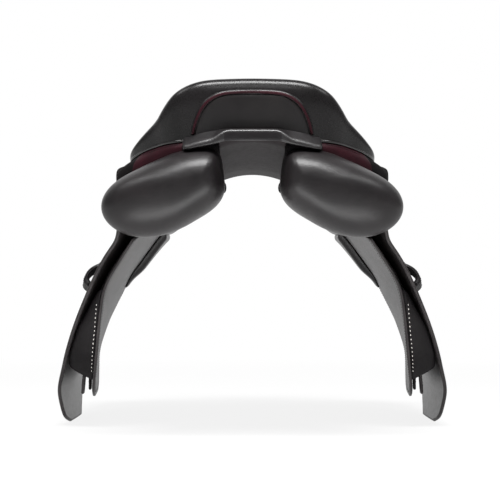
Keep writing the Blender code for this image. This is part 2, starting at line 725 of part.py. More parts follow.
def make_bridge(seat, looks, collection):
    """Padded leather bridge from panel to panel, drawn up against the back of the cantle."""
    back = surface_tree(seat)
    table = np.array(BRIDGE)
    x = np.linspace(-1, 1, 19) * BRIDGE_END * SX
    shaped = np.minimum(np.abs(x) / SX, table[-1, 0])
    top, low = rows(table, shaped, (1, 2))
    end = np.clip((np.abs(x) / SX - table[-1, 0]) / (BRIDGE_END - table[-1, 0]), 0, 1)
    middle = 0.5 * (top + low) * SZ
    half = 0.5 * (top - low) * SZ * (1 - 0.35 * end)
    angle = np.linspace(0, 2 * np.pi, 12, endpoint=False)
    c, s = np.cos(angle), np.sin(angle)
    square = np.where(c > 0, 2 / 5.0, 2 / 3.2)
    dy = np.sign(c) * np.abs(c) ** square
    dz = np.sign(s) * np.abs(s) ** square
    level = middle[:, None] + half[:, None] * dz[None]
    front = np.zeros_like(level)
    for i, place in enumerate(x):
        for j, z in enumerate(level[i]):
            hit = back.ray_cast(Vector((place, -0.4 * SY, z)), Vector((0, 1, 0)))[0]
            front[i, j] = min(hit.y if hit else 0.0, CHANNEL_ROOF[0][0] * SY) - GAP
    rear = (BRIDGE_REAR * SY + 0.006 * (np.abs(x) / BRIDGE_END / SX) ** 4)[:, None]
    depth = 0.5 * (front - rear)
    sections = np.stack([
        np.broadcast_to(x[:, None], level.shape),
        0.5 * (front + rear) + depth * dy[None] * (1 - 0.3 * end)[:, None],
        level,
    ], axis=-1)
    return loft("rear_bridge", sections, looks["grain"], collection)


# The panels

def panel_section(parameters, count=22):
    """Closed section in x and z round a middle line, blunt at the channel and round outside."""
    points = np.asarray(parameters[:8], float).reshape(4, 2)
    depth = parameters[8]
    line = through(points, 41)
    angle = np.linspace(0, 2 * np.pi, count, endpoint=False) + np.pi / count
    c, s = np.cos(angle), np.sin(angle)
    above, below, outside = (2 / value for value in PANEL_SQUARE)
    power = np.where(c > 0, outside, np.where(s > 0, above, below))
    along = 0.5 * (1 + np.sign(c) * np.abs(c) ** power)
    off = depth * np.sign(s) * np.abs(s) ** power
    place = np.stack([np.interp(along, np.linspace(0, 1, 41), line[:, k]) for k in (0, 1)], axis=-1)
    run = np.gradient(line, axis=0)
    run = np.stack([np.interp(along, np.linspace(0, 1, 41), run[:, k]) for k in (0, 1)], axis=-1)
    run /= np.linalg.norm(run, axis=1)[:, None]
    normal = np.stack([-run[:, 1], run[:, 0]], axis=1)
    return place + normal * off[:, None]


def panel_parameters(y):
    table = []
    for station in PANEL_STATIONS:
        flat = [station[0]]
        for point in station[1:5]:
            flat += [point[0], point[1]]
        table.append(flat + [station[5]])
    table = np.array(table)
    return np.array([float(follow(table[:, 0], table[:, k], np.array(y))) for k in range(1, 10)])


def make_panels(looks, collection):
    turn = np.radians([87, 74, 60, 45, 29, 12])
    rear_y = PANEL_REAR + PANEL_REAR_ROUND * (1 - np.sin(turn))
    rear_k = np.cos(turn) ** (2 / 2.6)
    middle_y = np.array([-0.200, -0.175, -0.150, -0.120, -0.090, -0.060, -0.030, 0.0,
                         0.035, 0.070, 0.105, 0.140, 0.165, 0.186, 0.207])
    front_turn = np.radians([12, 45, 78])
    front_y = PANEL_FRONT - PANEL_FRONT_ROUND * (1 - np.sin(front_turn))
    front_k = np.cos(front_turn) ** (2 / 2.6)
    stations = np.concatenate([rear_y, middle_y, front_y])
    shrink = np.concatenate([rear_k, np.ones(len(middle_y)), front_k])
    sections = []
    for y, k in zip(stations, shrink):
        section = panel_section(panel_parameters(y))
        centre = section.mean(axis=0)
        section = centre + (section - centre) * k
        sections.append(np.stack([section[:, 0], np.full(len(section), y), section[:, 1]], axis=-1))
    sections = np.array(sections) * [SX, SY, SZ]
    return {
        word: loft(f"panel_{word}", press_panel(sections), looks["panel"], collection, side)
        for word, side in sides()
    }


def press_panel(sections):
    """Presses a panel flat where it lies against the sweat flap, the flap and the head arch."""
    pressed = sections.copy()
    x, y, z = sections[..., 0], sections[..., 1], sections[..., 2]
    beside = (y > -0.115 * SY) & (y < 0.24 * SY)
    sweat_high = rows(np.array(SWEAT_TOP) * [SY, SZ], y) + 0.012
    arch = np.clip(2.1 - np.abs(y / SY - 0.186) / 0.022, 0, 1)
    lean = slanted(flap_face, y, z, 1.0)
    behind = np.maximum(GIRTH_WEB_WALL + 0.001, arch * (ARCH_WALL + 0.0028))
    root = flap_inner(y, z) - lean * (0.0015 + behind)
    sweat = sweat_face(y, z) - 0.0052 * SX
    limit = np.where(z < sweat_high, np.minimum(sweat, root), root)
    pressed[..., 0] = np.where(beside, np.minimum(x, limit), x)
    return pressed


def make_bands(looks, panels, collection):
    """Dark red bands between the panels and the hem of the seat."""
    number = np.arange(len(HEM), dtype=float)
    where = np.linspace(2.05, 6.6, 20)
    hem = np.stack([follow(number, np.array(HEM)[:, k], where) for k in range(3)], axis=-1)
    hem = hem * [SX, SY, SZ]
    run = np.gradient(hem[:, :2], axis=0)
    run /= np.linalg.norm(run, axis=1)[:, None]
    outward = np.stack([run[:, 1], -run[:, 0], np.zeros(len(run))], axis=1)
    top = hem - outward * (0.0002) - [0, 0, 2 * WELT_RADIUS + 2 * GAP]
    tree = surface_tree(panels["right"])
    foot = []
    for place, out in zip(top, outward):
        low = 0.0
        for shift in (0.004, 0.0025, 0.001):
            start = place + out * shift
            hit, _, _, _ = tree.ray_cast(Vector((start[0], start[1], 0.5)), Vector((0, 0, -1)))
            low = max(low, hit.z if hit else start[2] - 0.010)
        foot.append([place[0] + out[0] * 0.0035, place[1] + out[1] * 0.0035, low + SOFT_GAP])
    foot = np.array(foot)
    foot[:, 2] = np.clip(foot[:, 2], top[:, 2] - 0.020, top[:, 2] - 0.0025)
    for word, side in sides():
        outer = np.stack([top, 0.5 * (top + foot) + outward * 0.0006, foot], axis=1)
        inner = outer - outward[:, None] * BAND_WALL
        solid_between(f"panel_band_{word}", outer, inner, looks["red"], collection, side)
        welt = hem - outward * 0.0012 - [0, 0, WELT_RADIUS + GAP]
        tube(f"seat_welt_{word}", mirror_x(welt, side), WELT_RADIUS, looks["seat"], collection,
             resolution=1)


# Flaps, sweat flaps and skirts

def edge(table):
    scaled = np.array(table) * [SZ, SY]
    return lambda z: rows(scaled, z)


def height(table):
    scaled = np.array(table) * [SY, SZ]
    return lambda y: rows(scaled, y)


def hem_height(y):
    table = np.array(HEM)[6:16]
    return rows(np.stack([table[:, 1] * SY, table[:, 2] * SZ], axis=1), y)


def rim_reach(y):
    table = np.array(RIM)[6:16]
    return rows(np.stack([table[:, 1] * SY, table[:, 0] * SX], axis=1), y)


def make_flaps(looks, collection):
    y, z = layer_grid(edge(FLAP_REAR), edge(FLAP_FRONT), lambda y: np.zeros_like(y),
                      lambda y: bend_z(y) - 0.0002, 13, 11, bunch=0.6)
    outer = on_side(flap_face(y, z), y, z)
    inner = on_side(flap_inner(y, z), y, z)
    root_y, root_z = layer_grid(edge(FLAP_REAR), edge(FLAP_FRONT),
                                lambda y: bend_z(y) + 0.0003,
                                lambda y: hem_height(y) - 0.0012, 8, 13)
    root_outer = on_side(flap_face(root_y, root_z), root_y, root_z)
    by_seat = (rim_reach(root_y) - 0.0095) * np.clip((root_z / SZ - 0.310) / 0.012, 0, 1)
    root_inner = on_side(np.maximum(flap_inner(root_y, root_z), by_seat), root_y, root_z)
    for word, side in sides():
        flap = solid_between(f"flap_{word}", outer, inner, looks["flap"], collection, side)
        hinge_at(flap, bend_point(side))
        solid_between(f"flap_root_{word}", root_outer, root_inner, looks["flap"], collection, side)


def make_sweat_flaps(looks, collection):
    y, z = layer_grid(edge(SWEAT_REAR), edge(SWEAT_FRONT), lambda y: np.full_like(y, SWEAT_BOTTOM * SZ),
                      height(SWEAT_TOP), 13, 9, bunch=0.3)
    inner = on_side(sweat_face(y, z), y, z)
    outer = on_side(sweat_outer(y, z), y, z)
    pad_y, pad_z = layer_grid(edge(PAD_REAR), edge(PAD_FRONT),
                              lambda y: np.full_like(y, PAD_REAR[0][0] * SZ),
                              lambda y: np.full_like(y, PAD_REAR[-1][0] * SZ) - 0.020, 7, 7)
    against = sweat_face(pad_y, pad_z) - 2 * SOFT_GAP
    inside = pad_crown(7, 7, 0.55)
    skin = against - slanted(sweat_face, pad_y, pad_z, PAD_DEPTH) * inside
    for word, side in sides():
        solid_between(f"sweat_flap_{word}", outer, inner, looks["sweat"], collection, side)
        solid_between(f"panel_front_{word}", on_side(against, pad_y, pad_z), on_side(skin, pad_y, pad_z),
                      looks["panel"], collection, side)


def pad_crown(n, m, edge_share):
    """Share of the full depth over a grid: edge_share at the border, 1 in the middle."""
    u = np.abs(np.linspace(-1, 1, n))[:, None]
    v = np.abs(np.linspace(-1, 1, m))[None, :]
    return edge_share + (1 - edge_share) * (1 - u ** 4) * (1 - v ** 4)


def skirt_stand(y, z):
    """How far the skirt's inner face stands off the flap, over the stirrup bar."""
    over_bar = BAR_STAND + BAR_PLATE_WALL + BAR_SLOT + BAR_WALL + 0.0025
    along = np.clip(1 - ((y / SY - 0.088) / 0.098) ** 4, 0, 1)
    up = np.clip((z / SZ - 0.252) / 0.032, 0, 1)
    down = np.clip((0.335 - z / SZ) / 0.029, 0, 1)
    return SKIRT_EDGE_GAP + over_bar * along * up * up * (3 - 2 * up) * down * down * (3 - 2 * down)


def skirt_inner(y, z):
    return flap_face(y, z) + slanted(flap_face, y, z, 1.0) * skirt_stand(y, z)


def seam_drop(y):
    """How far the seam of the skirt lies under the hem."""
    middle, half = 0.5 * sum(SKIRT_ENDS) * SY, 0.5 * (SKIRT_ENDS[1] - SKIRT_ENDS[0]) * SY
    return SKIRT_DROP + SKIRT_SAG * np.clip(1 - ((y - middle) / half) ** 2, 0, 1)


def skirt_top(y):
    return hem_height(y) - seam_drop(y)


def make_skirts(looks, collection):
    ends = SKIRT_ENDS[0] * SY, SKIRT_ENDS[1] * SY
    y, z = layer_grid(lambda z: np.full_like(z, ends[0]), lambda z: np.full_like(z, ends[1]),
                      height(SKIRT_LOW), skirt_top, 9, 11)
    inner = skirt_inner(y, z)
    skived = np.ones_like(y)
    skived[-1] = SKIRT_SKIVED
    outer = inner + slanted(skirt_inner, y, z, SKIRT_WALL) * skived
    for word, side in sides():
        skirt = solid_between(f"skirt_{word}", on_side(outer, y, z), on_side(inner, y, z),
                              looks["flap"], collection, side)
        hinge_at(skirt, seam_point(side))


# Blocks, straps and guards between the flaps

def make_blocks(looks, collection):
    y, z = layer_grid(lambda z: edge(SWEAT_REAR)(z) + 0.002,
                      lambda z: np.full_like(z, THIGH_BLOCK_FRONT * SY),
                      height(THIGH_BLOCK_LOW), lambda y: np.full_like(y, THIGH_BLOCK_TOP * SZ), 9, 6)
    seat_on = sweat_outer(y, z) + SOFT_GAP
    across = np.linspace(0, 1, 6)[None, :]
    level = np.linspace(0, 1, 9)[:, None]
    top_z = z + THIGH_BLOCK_SLANT * (1 - level) ** 1.5
    swell = 1 - 0.72 * across ** 2
    depth = rows(np.array(THIGH_BLOCK_DEPTH) * [SZ, 1], top_z) * swell
    room = flap_inner(y, top_z) - 0.0025
    thigh = np.minimum(sweat_outer(y, top_z) + SOFT_GAP + depth, room)

    knee = np.array(KNEE_BLOCK)
    rear = edge(knee[:, [0, 1]])
    front = edge(knee[:, [0, 2]])
    knee_y, knee_z = layer_grid(rear, front, lambda y: np.full_like(y, knee[0, 0] * SZ),
                                lambda y: np.full_like(y, knee[-1, 0] * SZ), 9, 7)
    knee_on = sweat_outer(knee_y, knee_z) + SOFT_GAP
    knee_depth = rows(np.array(KNEE_BLOCK_DEPTH) * [SZ, SX], knee_z) * pad_crown(9, 7, 0.45)
    knee_top = np.minimum(knee_on + knee_depth, flap_inner(knee_y, knee_z) - 0.0015)
    for word, side in sides():
        solid_between(f"thigh_block_{word}", on_side(thigh, y, top_z), on_side(seat_on, y, z),
                      looks["grain"], collection, side)
        solid_between(f"knee_block_{word}", on_side(knee_top, knee_y, knee_z),
                      on_side(knee_on, knee_y, knee_z), looks["grain"], collection, side)


def strap_face(y, z):
    """Inner face of the girth straps; lower down the rear strap hangs clear of the sweat flap."""
    hang = rows(np.array(STRAP_HANG) * [SZ, 1], z)
    forward = np.clip((np.asarray(y) / SY - STRAP_MIDDLE_Y) / STRAP_SPACING + 0.5, 0, 1)
    return sweat_outer(y, z) + np.maximum(hang * (1 - 0.6 * forward), SOFT_GAP)


def make_straps(looks, collection):
    for number, (word_y, sign) in enumerate((("rear", -0.5), ("front", 0.5))):
        middle = (STRAP_MIDDLE_Y + sign * STRAP_SPACING) * SY
        z = np.linspace(STRAP_BOTTOM * SZ, STRAP_TOP * SZ, 13)
        tip = np.clip((z - STRAP_BOTTOM * SZ) / 0.012, 0, 1)
        half = 0.5 * STRAP_WIDTH * (0.45 + 0.55 * np.sqrt(tip * (2 - tip)))
        across = np.linspace(-1, 1, 3)
        y = middle + half[:, None] * across[None]
        level = np.broadcast_to(z[:, None], y.shape)
        flat_y = np.full_like(y, middle)
        twist = (sweat_outer(flat_y + 0.002, level) - sweat_outer(flat_y - 0.002, level)) / 0.004
        inner = strap_face(flat_y, level) + twist * (y - middle)
        outer = inner + slanted(strap_face, flat_y, level, STRAP_WALL)
        for word, side in sides():
            strap = solid_between(f"girth_strap_{word_y}_{word}", on_side(outer, y, level),
                                  on_side(inner, y, level), looks["strap"], collection, side)
            hinge_at(strap, (side * 0.5 * (inner[-1, 1] + outer[-1, 1]), middle, z[-1]))

    low, high = GUARD_HEIGHTS[0] * SZ, GUARD_HEIGHTS[1] * SZ
    ends = (STRAP_MIDDLE_Y - 0.062) * SY, (STRAP_MIDDLE_Y + 0.062) * SY
    y, z = layer_grid(lambda z: np.full_like(z, ends[0]), lambda z: np.full_like(z, ends[1]),
                      lambda y: np.full_like(y, low), lambda y: np.full_like(y, high), 7, 8)
    outside = strap_face(y, z) + slanted(strap_face, y, z, STRAP_WALL) + 0.0010
    guard = np.minimum(outside + slanted(strap_face, y, z, GUARD_WALL), flap_inner(y, z) - 0.0006)
    for word, side in sides():
        solid_between(f"buckle_guard_{word}", on_side(guard, y, z), on_side(outside, y, z),
                      looks["strap"], collection, side)

    web_low, web_high = (STRAP_TOP + 0.0006) * SZ, 0.3260 * SZ
    ends = (STRAP_MIDDLE_Y - 0.052) * SY, (STRAP_MIDDLE_Y + 0.052) * SY
    y, z = layer_grid(lambda z: np.full_like(z, ends[0]), lambda z: np.full_like(z, ends[1]),
                      lambda y: np.full_like(y, web_low), lambda y: np.full_like(y, web_high), 9, 6)
    outer = flap_inner(y, z) - 0.0010
    inner = outer - slanted(flap_face, y, z, GIRTH_WEB_WALL)
    for word, side in sides():
        solid_between(f"girth_web_{word}", on_side(outer, y, z), on_side(inner, y, z),
                      looks["web"], collection, side)


# Stirrup bars

def bar_frame(side):
    """Frame on the flap's outer face under the skirt: forward, up the slope, outwards."""
    y, z = BAR_MIDDLE_Y * SY, BAR_MIDDLE_Z * SZ
    step = 0.001
    base = np.array([float(flap_face(y, z)), y, z])
    forward = np.array([float(flap_face(y + 0.03, z) - flap_face(y - 0.03, z)), 0.06, 0.0])
    up = np.array([float(flap_face(y, z + step) - flap_face(y, z - step)), 0.0, 2 * step])
    forward /= np.linalg.norm(forward)
    outward = np.cross(forward, up)
    if outward[0] < 0:
        outward = -outward
    outward /= np.linalg.norm(outward)
    up = np.cross(outward, forward)
    if up[2] < 0:
        up = -up
    frame = [base, forward, up, outward]
    frame = [Vector(tuple(v * np.array([side, 1, 1]))) for v in frame]
    return frame


def make_bars(looks, collection, cutters):
    plate = BAR_PLATE_WALL
    inner = plate + BAR_SLOT
    outer = inner + BAR_WALL
    half = 0.5 * BAR_LENGTH
    neck = 0.010
    outline = [
        (-half, 0.0), (half - 0.002, 0.0), (half, 0.002), (half, outer - 0.004),
        (half - 0.0012, outer - 0.0012),
        (half - 0.004, outer), (-half + 0.003, outer), (-half, outer - 0.002), (-half, inner + 0.0008),
        (-half + 0.001, inner), (half - neck - 0.003, inner), (half - neck - 0.0008, inner - 0.0008),
        (half - neck, inner - 0.003), (half - neck, plate + 0.002), (half - neck - 0.002, plate),
        (-half, plate),
    ]
    pivot = -half + 0.0085
    for word, side in sides():
        base, forward, up, outward = bar_frame(side)
        origin = base + outward * BAR_STAND
        place = frame_matrix(origin, forward, outward, up)
        bar = extruded(f"stirrup_bar_{word}", outline, BAR_HEIGHT, place, looks["steel"], collection)
        bar = as_mesh(bar)
        face_out(bar)

        catch_top = inner - 0.0004
        catch_low = catch_top - CATCH_WALL
        pin = round_bar(f"catch_pin_{word}", CATCH_PIN_RADIUS, catch_low - 0.0016, inner + 0.0012, cutters)
        pin.matrix_world = frame_matrix(origin + forward * pivot, forward, up, outward)
        join_solid(bar, pin)

        tongue = [(0.0062 * math.cos(math.radians(a)), 0.0062 * math.sin(math.radians(a)))
                  for a in np.linspace(-90, 90, 9)]
        nose = 0.0062 - CATCH_LENGTH
        tongue += [(nose + 0.0062 * math.cos(math.radians(a)), 0.0062 * math.sin(math.radians(a)))
                   for a in np.linspace(90, 270, 9)]
        joint = origin + forward * pivot + outward * (0.5 * (catch_low + catch_top))
        place = frame_matrix(joint, forward, up, outward)
        catch = extruded(f"stirrup_catch_{word}", tongue, CATCH_WALL, place, looks["steel"], collection)
        catch = as_mesh(catch)
        face_out(catch)
        hole = round_bar(f"catch_hole_{word}", CATCH_PIN_RADIUS + PIN_CLEARANCE, catch_low - 0.003,
                         catch_top + 0.003, cutters)
        hole.matrix_world = frame_matrix(origin + forward * pivot, forward, up, outward)
        cut = catch.modifiers.new("pin hole", "BOOLEAN")
        cut.operation = "DIFFERENCE"
        cut.object = hole


def round_bar(name, radius, low, high, collection):
    """Round bar along z from low to high, for a cut or a join."""
    build = bmesh.new()
    bmesh.ops.create_cone(build, cap_ends=True, segments=16, radius1=radius, radius2=radius,
                          depth=high - low, matrix=Matrix.Translation((0, 0, 0.5 * (low + high))))
    mesh = bpy.data.meshes.new(name)
    build.to_mesh(mesh)
    build.free()
    item = bpy.data.objects.new(name, mesh)
    collection.objects.link(item)
    item.hide_render = True
    item.display_type = "WIRE"
    return item


# Small parts

def make_keepers(looks, collection):
    """Strap loops that stand off the flaps and take the ends of the stirrup leathers."""
    y0 = KEEPER_Y * SY
    low, high = KEEPER_HEIGHTS[0] * SZ, KEEPER_HEIGHTS[1] * SZ
    t = np.linspace(0, 1, 13)
    z = low + (high - low) * t
    lift = KEEPER_RISE * np.clip(1 - np.abs(2 * t - 1) ** 3.2, 0, 1) + 0.0006
    across = np.array([-0.5, 0.5]) * KEEPER_WIDTH
    y = np.full((13, 2), y0) + across[None]
    level = np.broadcast_to(z[:, None], y.shape)
    face = flap_face(y, level)
    inner = face + lift[:, None] * 1.25
    outer = inner + slanted(flap_face, y, level, KEEPER_WALL)
    for word, side in sides():
        keeper = solid_between(f"keeper_{word}", on_side(outer, y, level), on_side(inner, y, level),
                               looks["strap"], collection, side)
        hinge_at(keeper, bend_point(side))


def make_head(looks, collection):
    """Steel arch of the head, under the tree and over the panels."""
    low = np.array([0.3225, 0.3145, 0.3070, 0.2990]) * SZ
    legs = flap_inner(np.full(4, 0.186 * SY), low) - 0.0024 * slanted(flap_face, 0.186 * SY, low, 1.0)
    half = np.concatenate([np.array(ARCH_BOW) * [SX, SZ], np.stack([legs, low], axis=1)])
    line = through(half, 12)
    line = np.concatenate([line[::-1] * [-1, 1], line[1:]])
    run = np.gradient(line, axis=0)
    run /= np.linalg.norm(run, axis=1)[:, None]
    normal = np.stack([-run[:, 1], run[:, 0]], axis=1)
    low = line - normal * ARCH_WALL
    y = np.array(ARCH_ENDS) * SY
    top = np.stack([np.stack([line[:, 0], np.full(len(line), v), line[:, 1]], axis=-1) for v in y], axis=1)
    bottom = np.stack([np.stack([low[:, 0], np.full(len(line), v), low[:, 1]], axis=-1) for v in y], axis=1)
    solid_between("head_arch", top, bottom, looks["steel"], collection)


def make_dees(looks, seat, collection):
    """Chapes on the pommel and the dees that hang in them."""
    tree = surface_tree(seat)
    for word, side in sides():
        x = CHAPE_X * SX
        front = 0.0
        for across in (-0.5, 0.0, 0.5):
            for z in np.linspace(0.3500, CHAPE_TOP, 4) * SZ:
                start = Vector((x + across * CHAPE_WIDTH, 0.5, z))
                hit = tree.ray_cast(start, Vector((0, -1, 0)))[0]
                front = max(front, hit.y + GAP if hit else 0.0)
        curl_r = DEE_WIRE + 0.0007
        wall = 0.0018
        bar_y = front + wall + curl_r
        bar_z = 0.3400 * SZ
        top = CHAPE_TOP * SZ
        # The strip runs down the pommel and curls forward under the dee's bar
        outer = [(front, top), (front, bar_z)]
        for turn in np.linspace(180, 360, 9)[1:]:
            a = math.radians(turn)
            outer.append((bar_y + (curl_r + wall) * math.cos(a), bar_z + (curl_r + wall) * math.sin(a)))
        outer.append((bar_y + curl_r + wall, bar_z + 0.0005))
        inner = [(bar_y + curl_r, bar_z + 0.0005)]
        for turn in np.linspace(360, 180, 9):
            a = math.radians(turn)
            inner.append((bar_y + curl_r * math.cos(a), bar_z + curl_r * math.sin(a)))
        inner.append((front + wall, top))
        outline = outer + inner
        place = frame_matrix((side * x, 0, 0), (0, 1, 0), (0, 0, 1), (1, 0, 0))
        chape = extruded(f"dee_chape_{word}", outline, CHAPE_WIDTH, place, looks["strap"], collection)
        face_out(as_mesh(chape))
        ring = []
        half = 0.5 * DEE_WIDTH
        for turn in np.linspace(180, 360, 13):
            a = math.radians(turn)
            ring.append((side * x + half * math.cos(a), bar_y, bar_z - 0.006 + half * math.sin(a)))
        ring.append((side * x + half, bar_y, bar_z - 0.002))
        ring.append((side * x + half - 0.002, bar_y, bar_z))
        ring.append((side * x - half + 0.002, bar_y, bar_z))
        ring.append((side * x - half, bar_y, bar_z - 0.002))
        dee = tube(f"dee_{word}", ring, DEE_WIRE, looks["steel"], collection, cyclic=True)
        hinge_at(dee, (side * x, bar_y, bar_z))


def make_nails(looks, seat, collection):
    """Domed head nails at the front corners of the seat."""
    tree = surface_tree(seat)
    for word, side in sides():
        aim = Vector((NAIL_PLACE[0] * SX * side, NAIL_PLACE[1] * SY, NAIL_PLACE[2] * SZ))
        away = Vector((0.85 * side, 0.5, 0.1)).normalized()
        hit, normal, _, _ = tree.ray_cast(aim + away * 0.1, -away)
        profile = [(0.0, 0.0034), (0.25, 0.0033), (0.55, 0.0027), (0.85, 0.0014), (1.0, 0.0003), (1.0, 0.0)]
        mesh = bpy.data.meshes.new(f"head_nail_{word}")
        points = [(r * NAIL_RADIUS, 0.0, h) for r, h in profile] + [(0.0, 0.0, 0.0)]
        mesh.from_pydata(points, [(i, i + 1) for i in range(len(points) - 1)], [])
        mesh.materials.append(looks["steel"])
        item = bpy.data.objects.new(f"head_nail_{word}", mesh)
        collection.objects.link(item)
        screw = item.modifiers.new("turn", "SCREW")
        screw.steps = screw.render_steps = 16
        screw.use_merge_vertices = True
        screw.merge_threshold = 0.00001
        turned = normal.to_track_quat("Z", "Y").to_matrix().to_4x4()
        item.matrix_world = Matrix.Translation(hit + normal * (GAP + 0.0004)) @ turned


def make_tabs(looks, panels, collection):
    """Small leather loops on the walls of the channel that tie the panels in."""
    tree = surface_tree(panels["right"])
    y, z = TAB_Y * SY, 0.3180 * SZ
    wall_x = min(tree.ray_cast(Vector((0, y + a, z + b)), Vector((1, 0, 0)))[0].x
                 for a in (-0.004, 0.004) for b in (-0.005, 0.0, 0.005))
    rise, tall, wall = 0.0042, 0.0140, 0.0013
    outline = []
    for turn in np.linspace(-90, 90, 9):
        a = math.radians(turn)
        outline.append((-rise * math.cos(a), 0.5 * tall * math.sin(a)))
    for turn in np.linspace(90, -90, 9):
        a = math.radians(turn)
        outline.append((-(rise - wall) * math.cos(a), (0.5 * tall - wall) * math.sin(a)))
    for word, side in sides():
        place = frame_matrix((side * (wall_x - GAP), y, z), (side, 0, 0), (0, 0, 1), (0, 1, 0))
        tab = extruded(f"panel_tab_{word}", outline, 0.008, place, looks["strap"], collection)
        face_out(as_mesh(tab))


def make_skirt_welts(looks, collection):
    """Piping along the seam where a skirt hangs from the seat."""
    y = np.linspace(SKIRT_ENDS[0] + 0.020, SKIRT_ENDS[1] - 0.036, 11) * SY
    z = hem_height(y) - seam_drop(y) + 0.0025
    for word, side in sides():
        path = on_side(flap_face(y, z) + slanted(flap_face, y, z, WELT_RADIUS + 1.4 * SOFT_GAP), y, z)
        tube(f"skirt_welt_{word}", mirror_x(path, side), WELT_RADIUS, looks["seat"], collection,
             resolution=1)


def main():
    clear_scene()
    collection = new_collection("jumping_saddle")
    cutters = new_collection("cutters")
    looks = {
        "seat": new_material("seat leather", BLACK, 0.35),
        "grain": new_material("grained leather", BLACK_GRAIN, 0.45),
        "panel": new_material("panel leather", BLACK_GRAIN, 0.42),
        "flap": new_material("flap leather", BLACK, 0.40),
        "sweat": new_material("sweat flap leather", FLESH, 0.50),
        "strap": new_material("strap leather", BLACK, 0.50),
        "red": new_material("dark red leather", DARK_RED, 0.35),
        "foam": new_material("seat foam", FOAM, 0.9),
        "tree": new_material("tree laminate", TREE, 0.6),
        "steel": new_material("plated steel", STEEL, 0.25, 1.0),
        "web": new_material("webbing", WEB, 0.9),
    }
    seat = make_seat(looks, collection)
    make_cantle_trim(seat, looks, collection)
    make_channel(looks, collection)
    make_bridge(seat, looks, collection)
    panels = make_panels(looks, collection)
    make_bands(looks, panels, collection)
    make_flaps(looks, collection)
    make_sweat_flaps(looks, collection)
    make_skirts(looks, collection)
    make_skirt_welts(looks, collection)
    make_blocks(looks, collection)
    make_straps(looks, collection)
    make_bars(looks, collection, cutters)
    make_keepers(looks, collection)
    make_head(looks, collection)
    make_dees(looks, seat, collection)
    make_nails(looks, seat, collection)
    make_tabs(looks, panels, collection)


main()
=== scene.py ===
import math

import bmesh
import bpy
import numpy as np
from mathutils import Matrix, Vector
from mathutils.bvhtree import BVHTree
from mathutils.kdtree import KDTree


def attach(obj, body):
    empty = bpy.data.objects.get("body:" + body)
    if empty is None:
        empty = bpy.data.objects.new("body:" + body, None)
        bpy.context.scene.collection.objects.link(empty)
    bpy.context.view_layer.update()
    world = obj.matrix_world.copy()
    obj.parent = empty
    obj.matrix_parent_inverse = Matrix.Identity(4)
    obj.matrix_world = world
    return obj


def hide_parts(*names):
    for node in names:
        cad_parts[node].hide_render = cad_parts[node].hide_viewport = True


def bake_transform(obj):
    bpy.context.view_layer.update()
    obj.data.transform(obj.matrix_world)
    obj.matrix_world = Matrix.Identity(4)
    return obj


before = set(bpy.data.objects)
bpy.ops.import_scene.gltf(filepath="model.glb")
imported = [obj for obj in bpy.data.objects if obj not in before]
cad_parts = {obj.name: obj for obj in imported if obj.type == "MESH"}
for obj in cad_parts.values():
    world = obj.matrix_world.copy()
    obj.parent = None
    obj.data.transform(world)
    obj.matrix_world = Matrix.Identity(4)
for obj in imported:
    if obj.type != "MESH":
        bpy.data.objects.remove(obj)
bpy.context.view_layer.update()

# Jumping saddle from behind: black leather, dark red trim. Metres, +Y to the horse's head, +Z up.
sides = {"left": -1, "right": 1}


# Numbers

def slopesOf(knots, values):
    # Slope at each knot is the weighted harmonic mean of its two chords, or 0 where they turn
    step = np.diff(knots)
    chord = np.diff(values, axis=-1) / step
    slope = np.zeros_like(values)
    slope[..., 0], slope[..., -1] = chord[..., 0], chord[..., -1]
    before, after = chord[..., :-1], chord[..., 1:]
    w1, w2 = 2 * step[1:] + step[:-1], step[1:] + 2 * step[:-1]
    same = before * after > 0
    mean = (w1 + w2) / (w1 / np.where(same, before, 1) + w2 / np.where(same, after, 1))
    slope[..., 1:-1] = np.where(same, mean, 0)
    return slope


def follow(knots, values, where):
    # Cubic Hermite pieces through the knots: a(1+2t)(1-t)^2 + a't(1-t)^2 + bt^2(3-2t) + b't^2(t-1)
    knots = np.asarray(knots, float)
    where = np.clip(np.asarray(where, float), knots[0], knots[-1])
    values = np.broadcast_to(np.asarray(values, float), where.shape + (len(knots),))
    slope = slopesOf(knots, values)
    piece = np.clip(np.searchsorted(knots, where, side="right") - 1, 0, len(knots) - 2)
    width = knots[piece + 1] - knots[piece]
    t = (where - knots[piece]) / width
    pick = lambda table, index: np.take_along_axis(table, index[..., None], axis=-1)[..., 0]
    a, b = pick(values, piece), pick(values, piece + 1)
    da, db = pick(slope, piece) * width, pick(slope, piece + 1) * width
    return (a * (1 + 2 * t) * (1 - t) ** 2 + da * t * (1 - t) ** 2
            + b * t * t * (3 - 2 * t) + db * t * t * (t - 1))


def column(table, where, which=1):
    # A column of a table, read off at values of the table's first column
    table = np.asarray(table, float)
    return follow(table[:, 0], table[:, which], where)


def curve(points, where, knots=None):
    # The curve through points, by their number in the list or by the knots given
    points = np.asarray(points, float)
    knots = np.arange(len(points), dtype=float) if knots is None else knots
    return np.stack([follow(knots, points[:, k], where) for k in range(points.shape[1])], axis=-1)


def distances(path):
    # Distance along a path at each of its points
    return np.concatenate([[0], np.cumsum(np.linalg.norm(np.diff(path, axis=0), axis=1))])


def smoothPath(points, count):
    # The curve through the control points, by distance along them
    along = distances(np.asarray(points, float))
    return curve(points, np.linspace(0, along[-1], count), along)


def blur(values, times, axis=0):
    # Each value becomes a quarter of both neighbours and half of itself, times over
    values = np.array(values, float)
    for _ in range(times):
        moved = np.moveaxis(values, axis, 0)
        moved[1:-1] = 0.25 * moved[:-2] + 0.5 * moved[1:-1] + 0.25 * moved[2:]
    return values


def softened(grid, times):
    # Blurred along both axes
    return blur(blur(grid, times, axis=0), times, axis=1)


def unit(vectors):
    # Vectors at length 1
    return vectors / np.maximum(np.linalg.norm(vectors, axis=-1, keepdims=True), 1e-12)


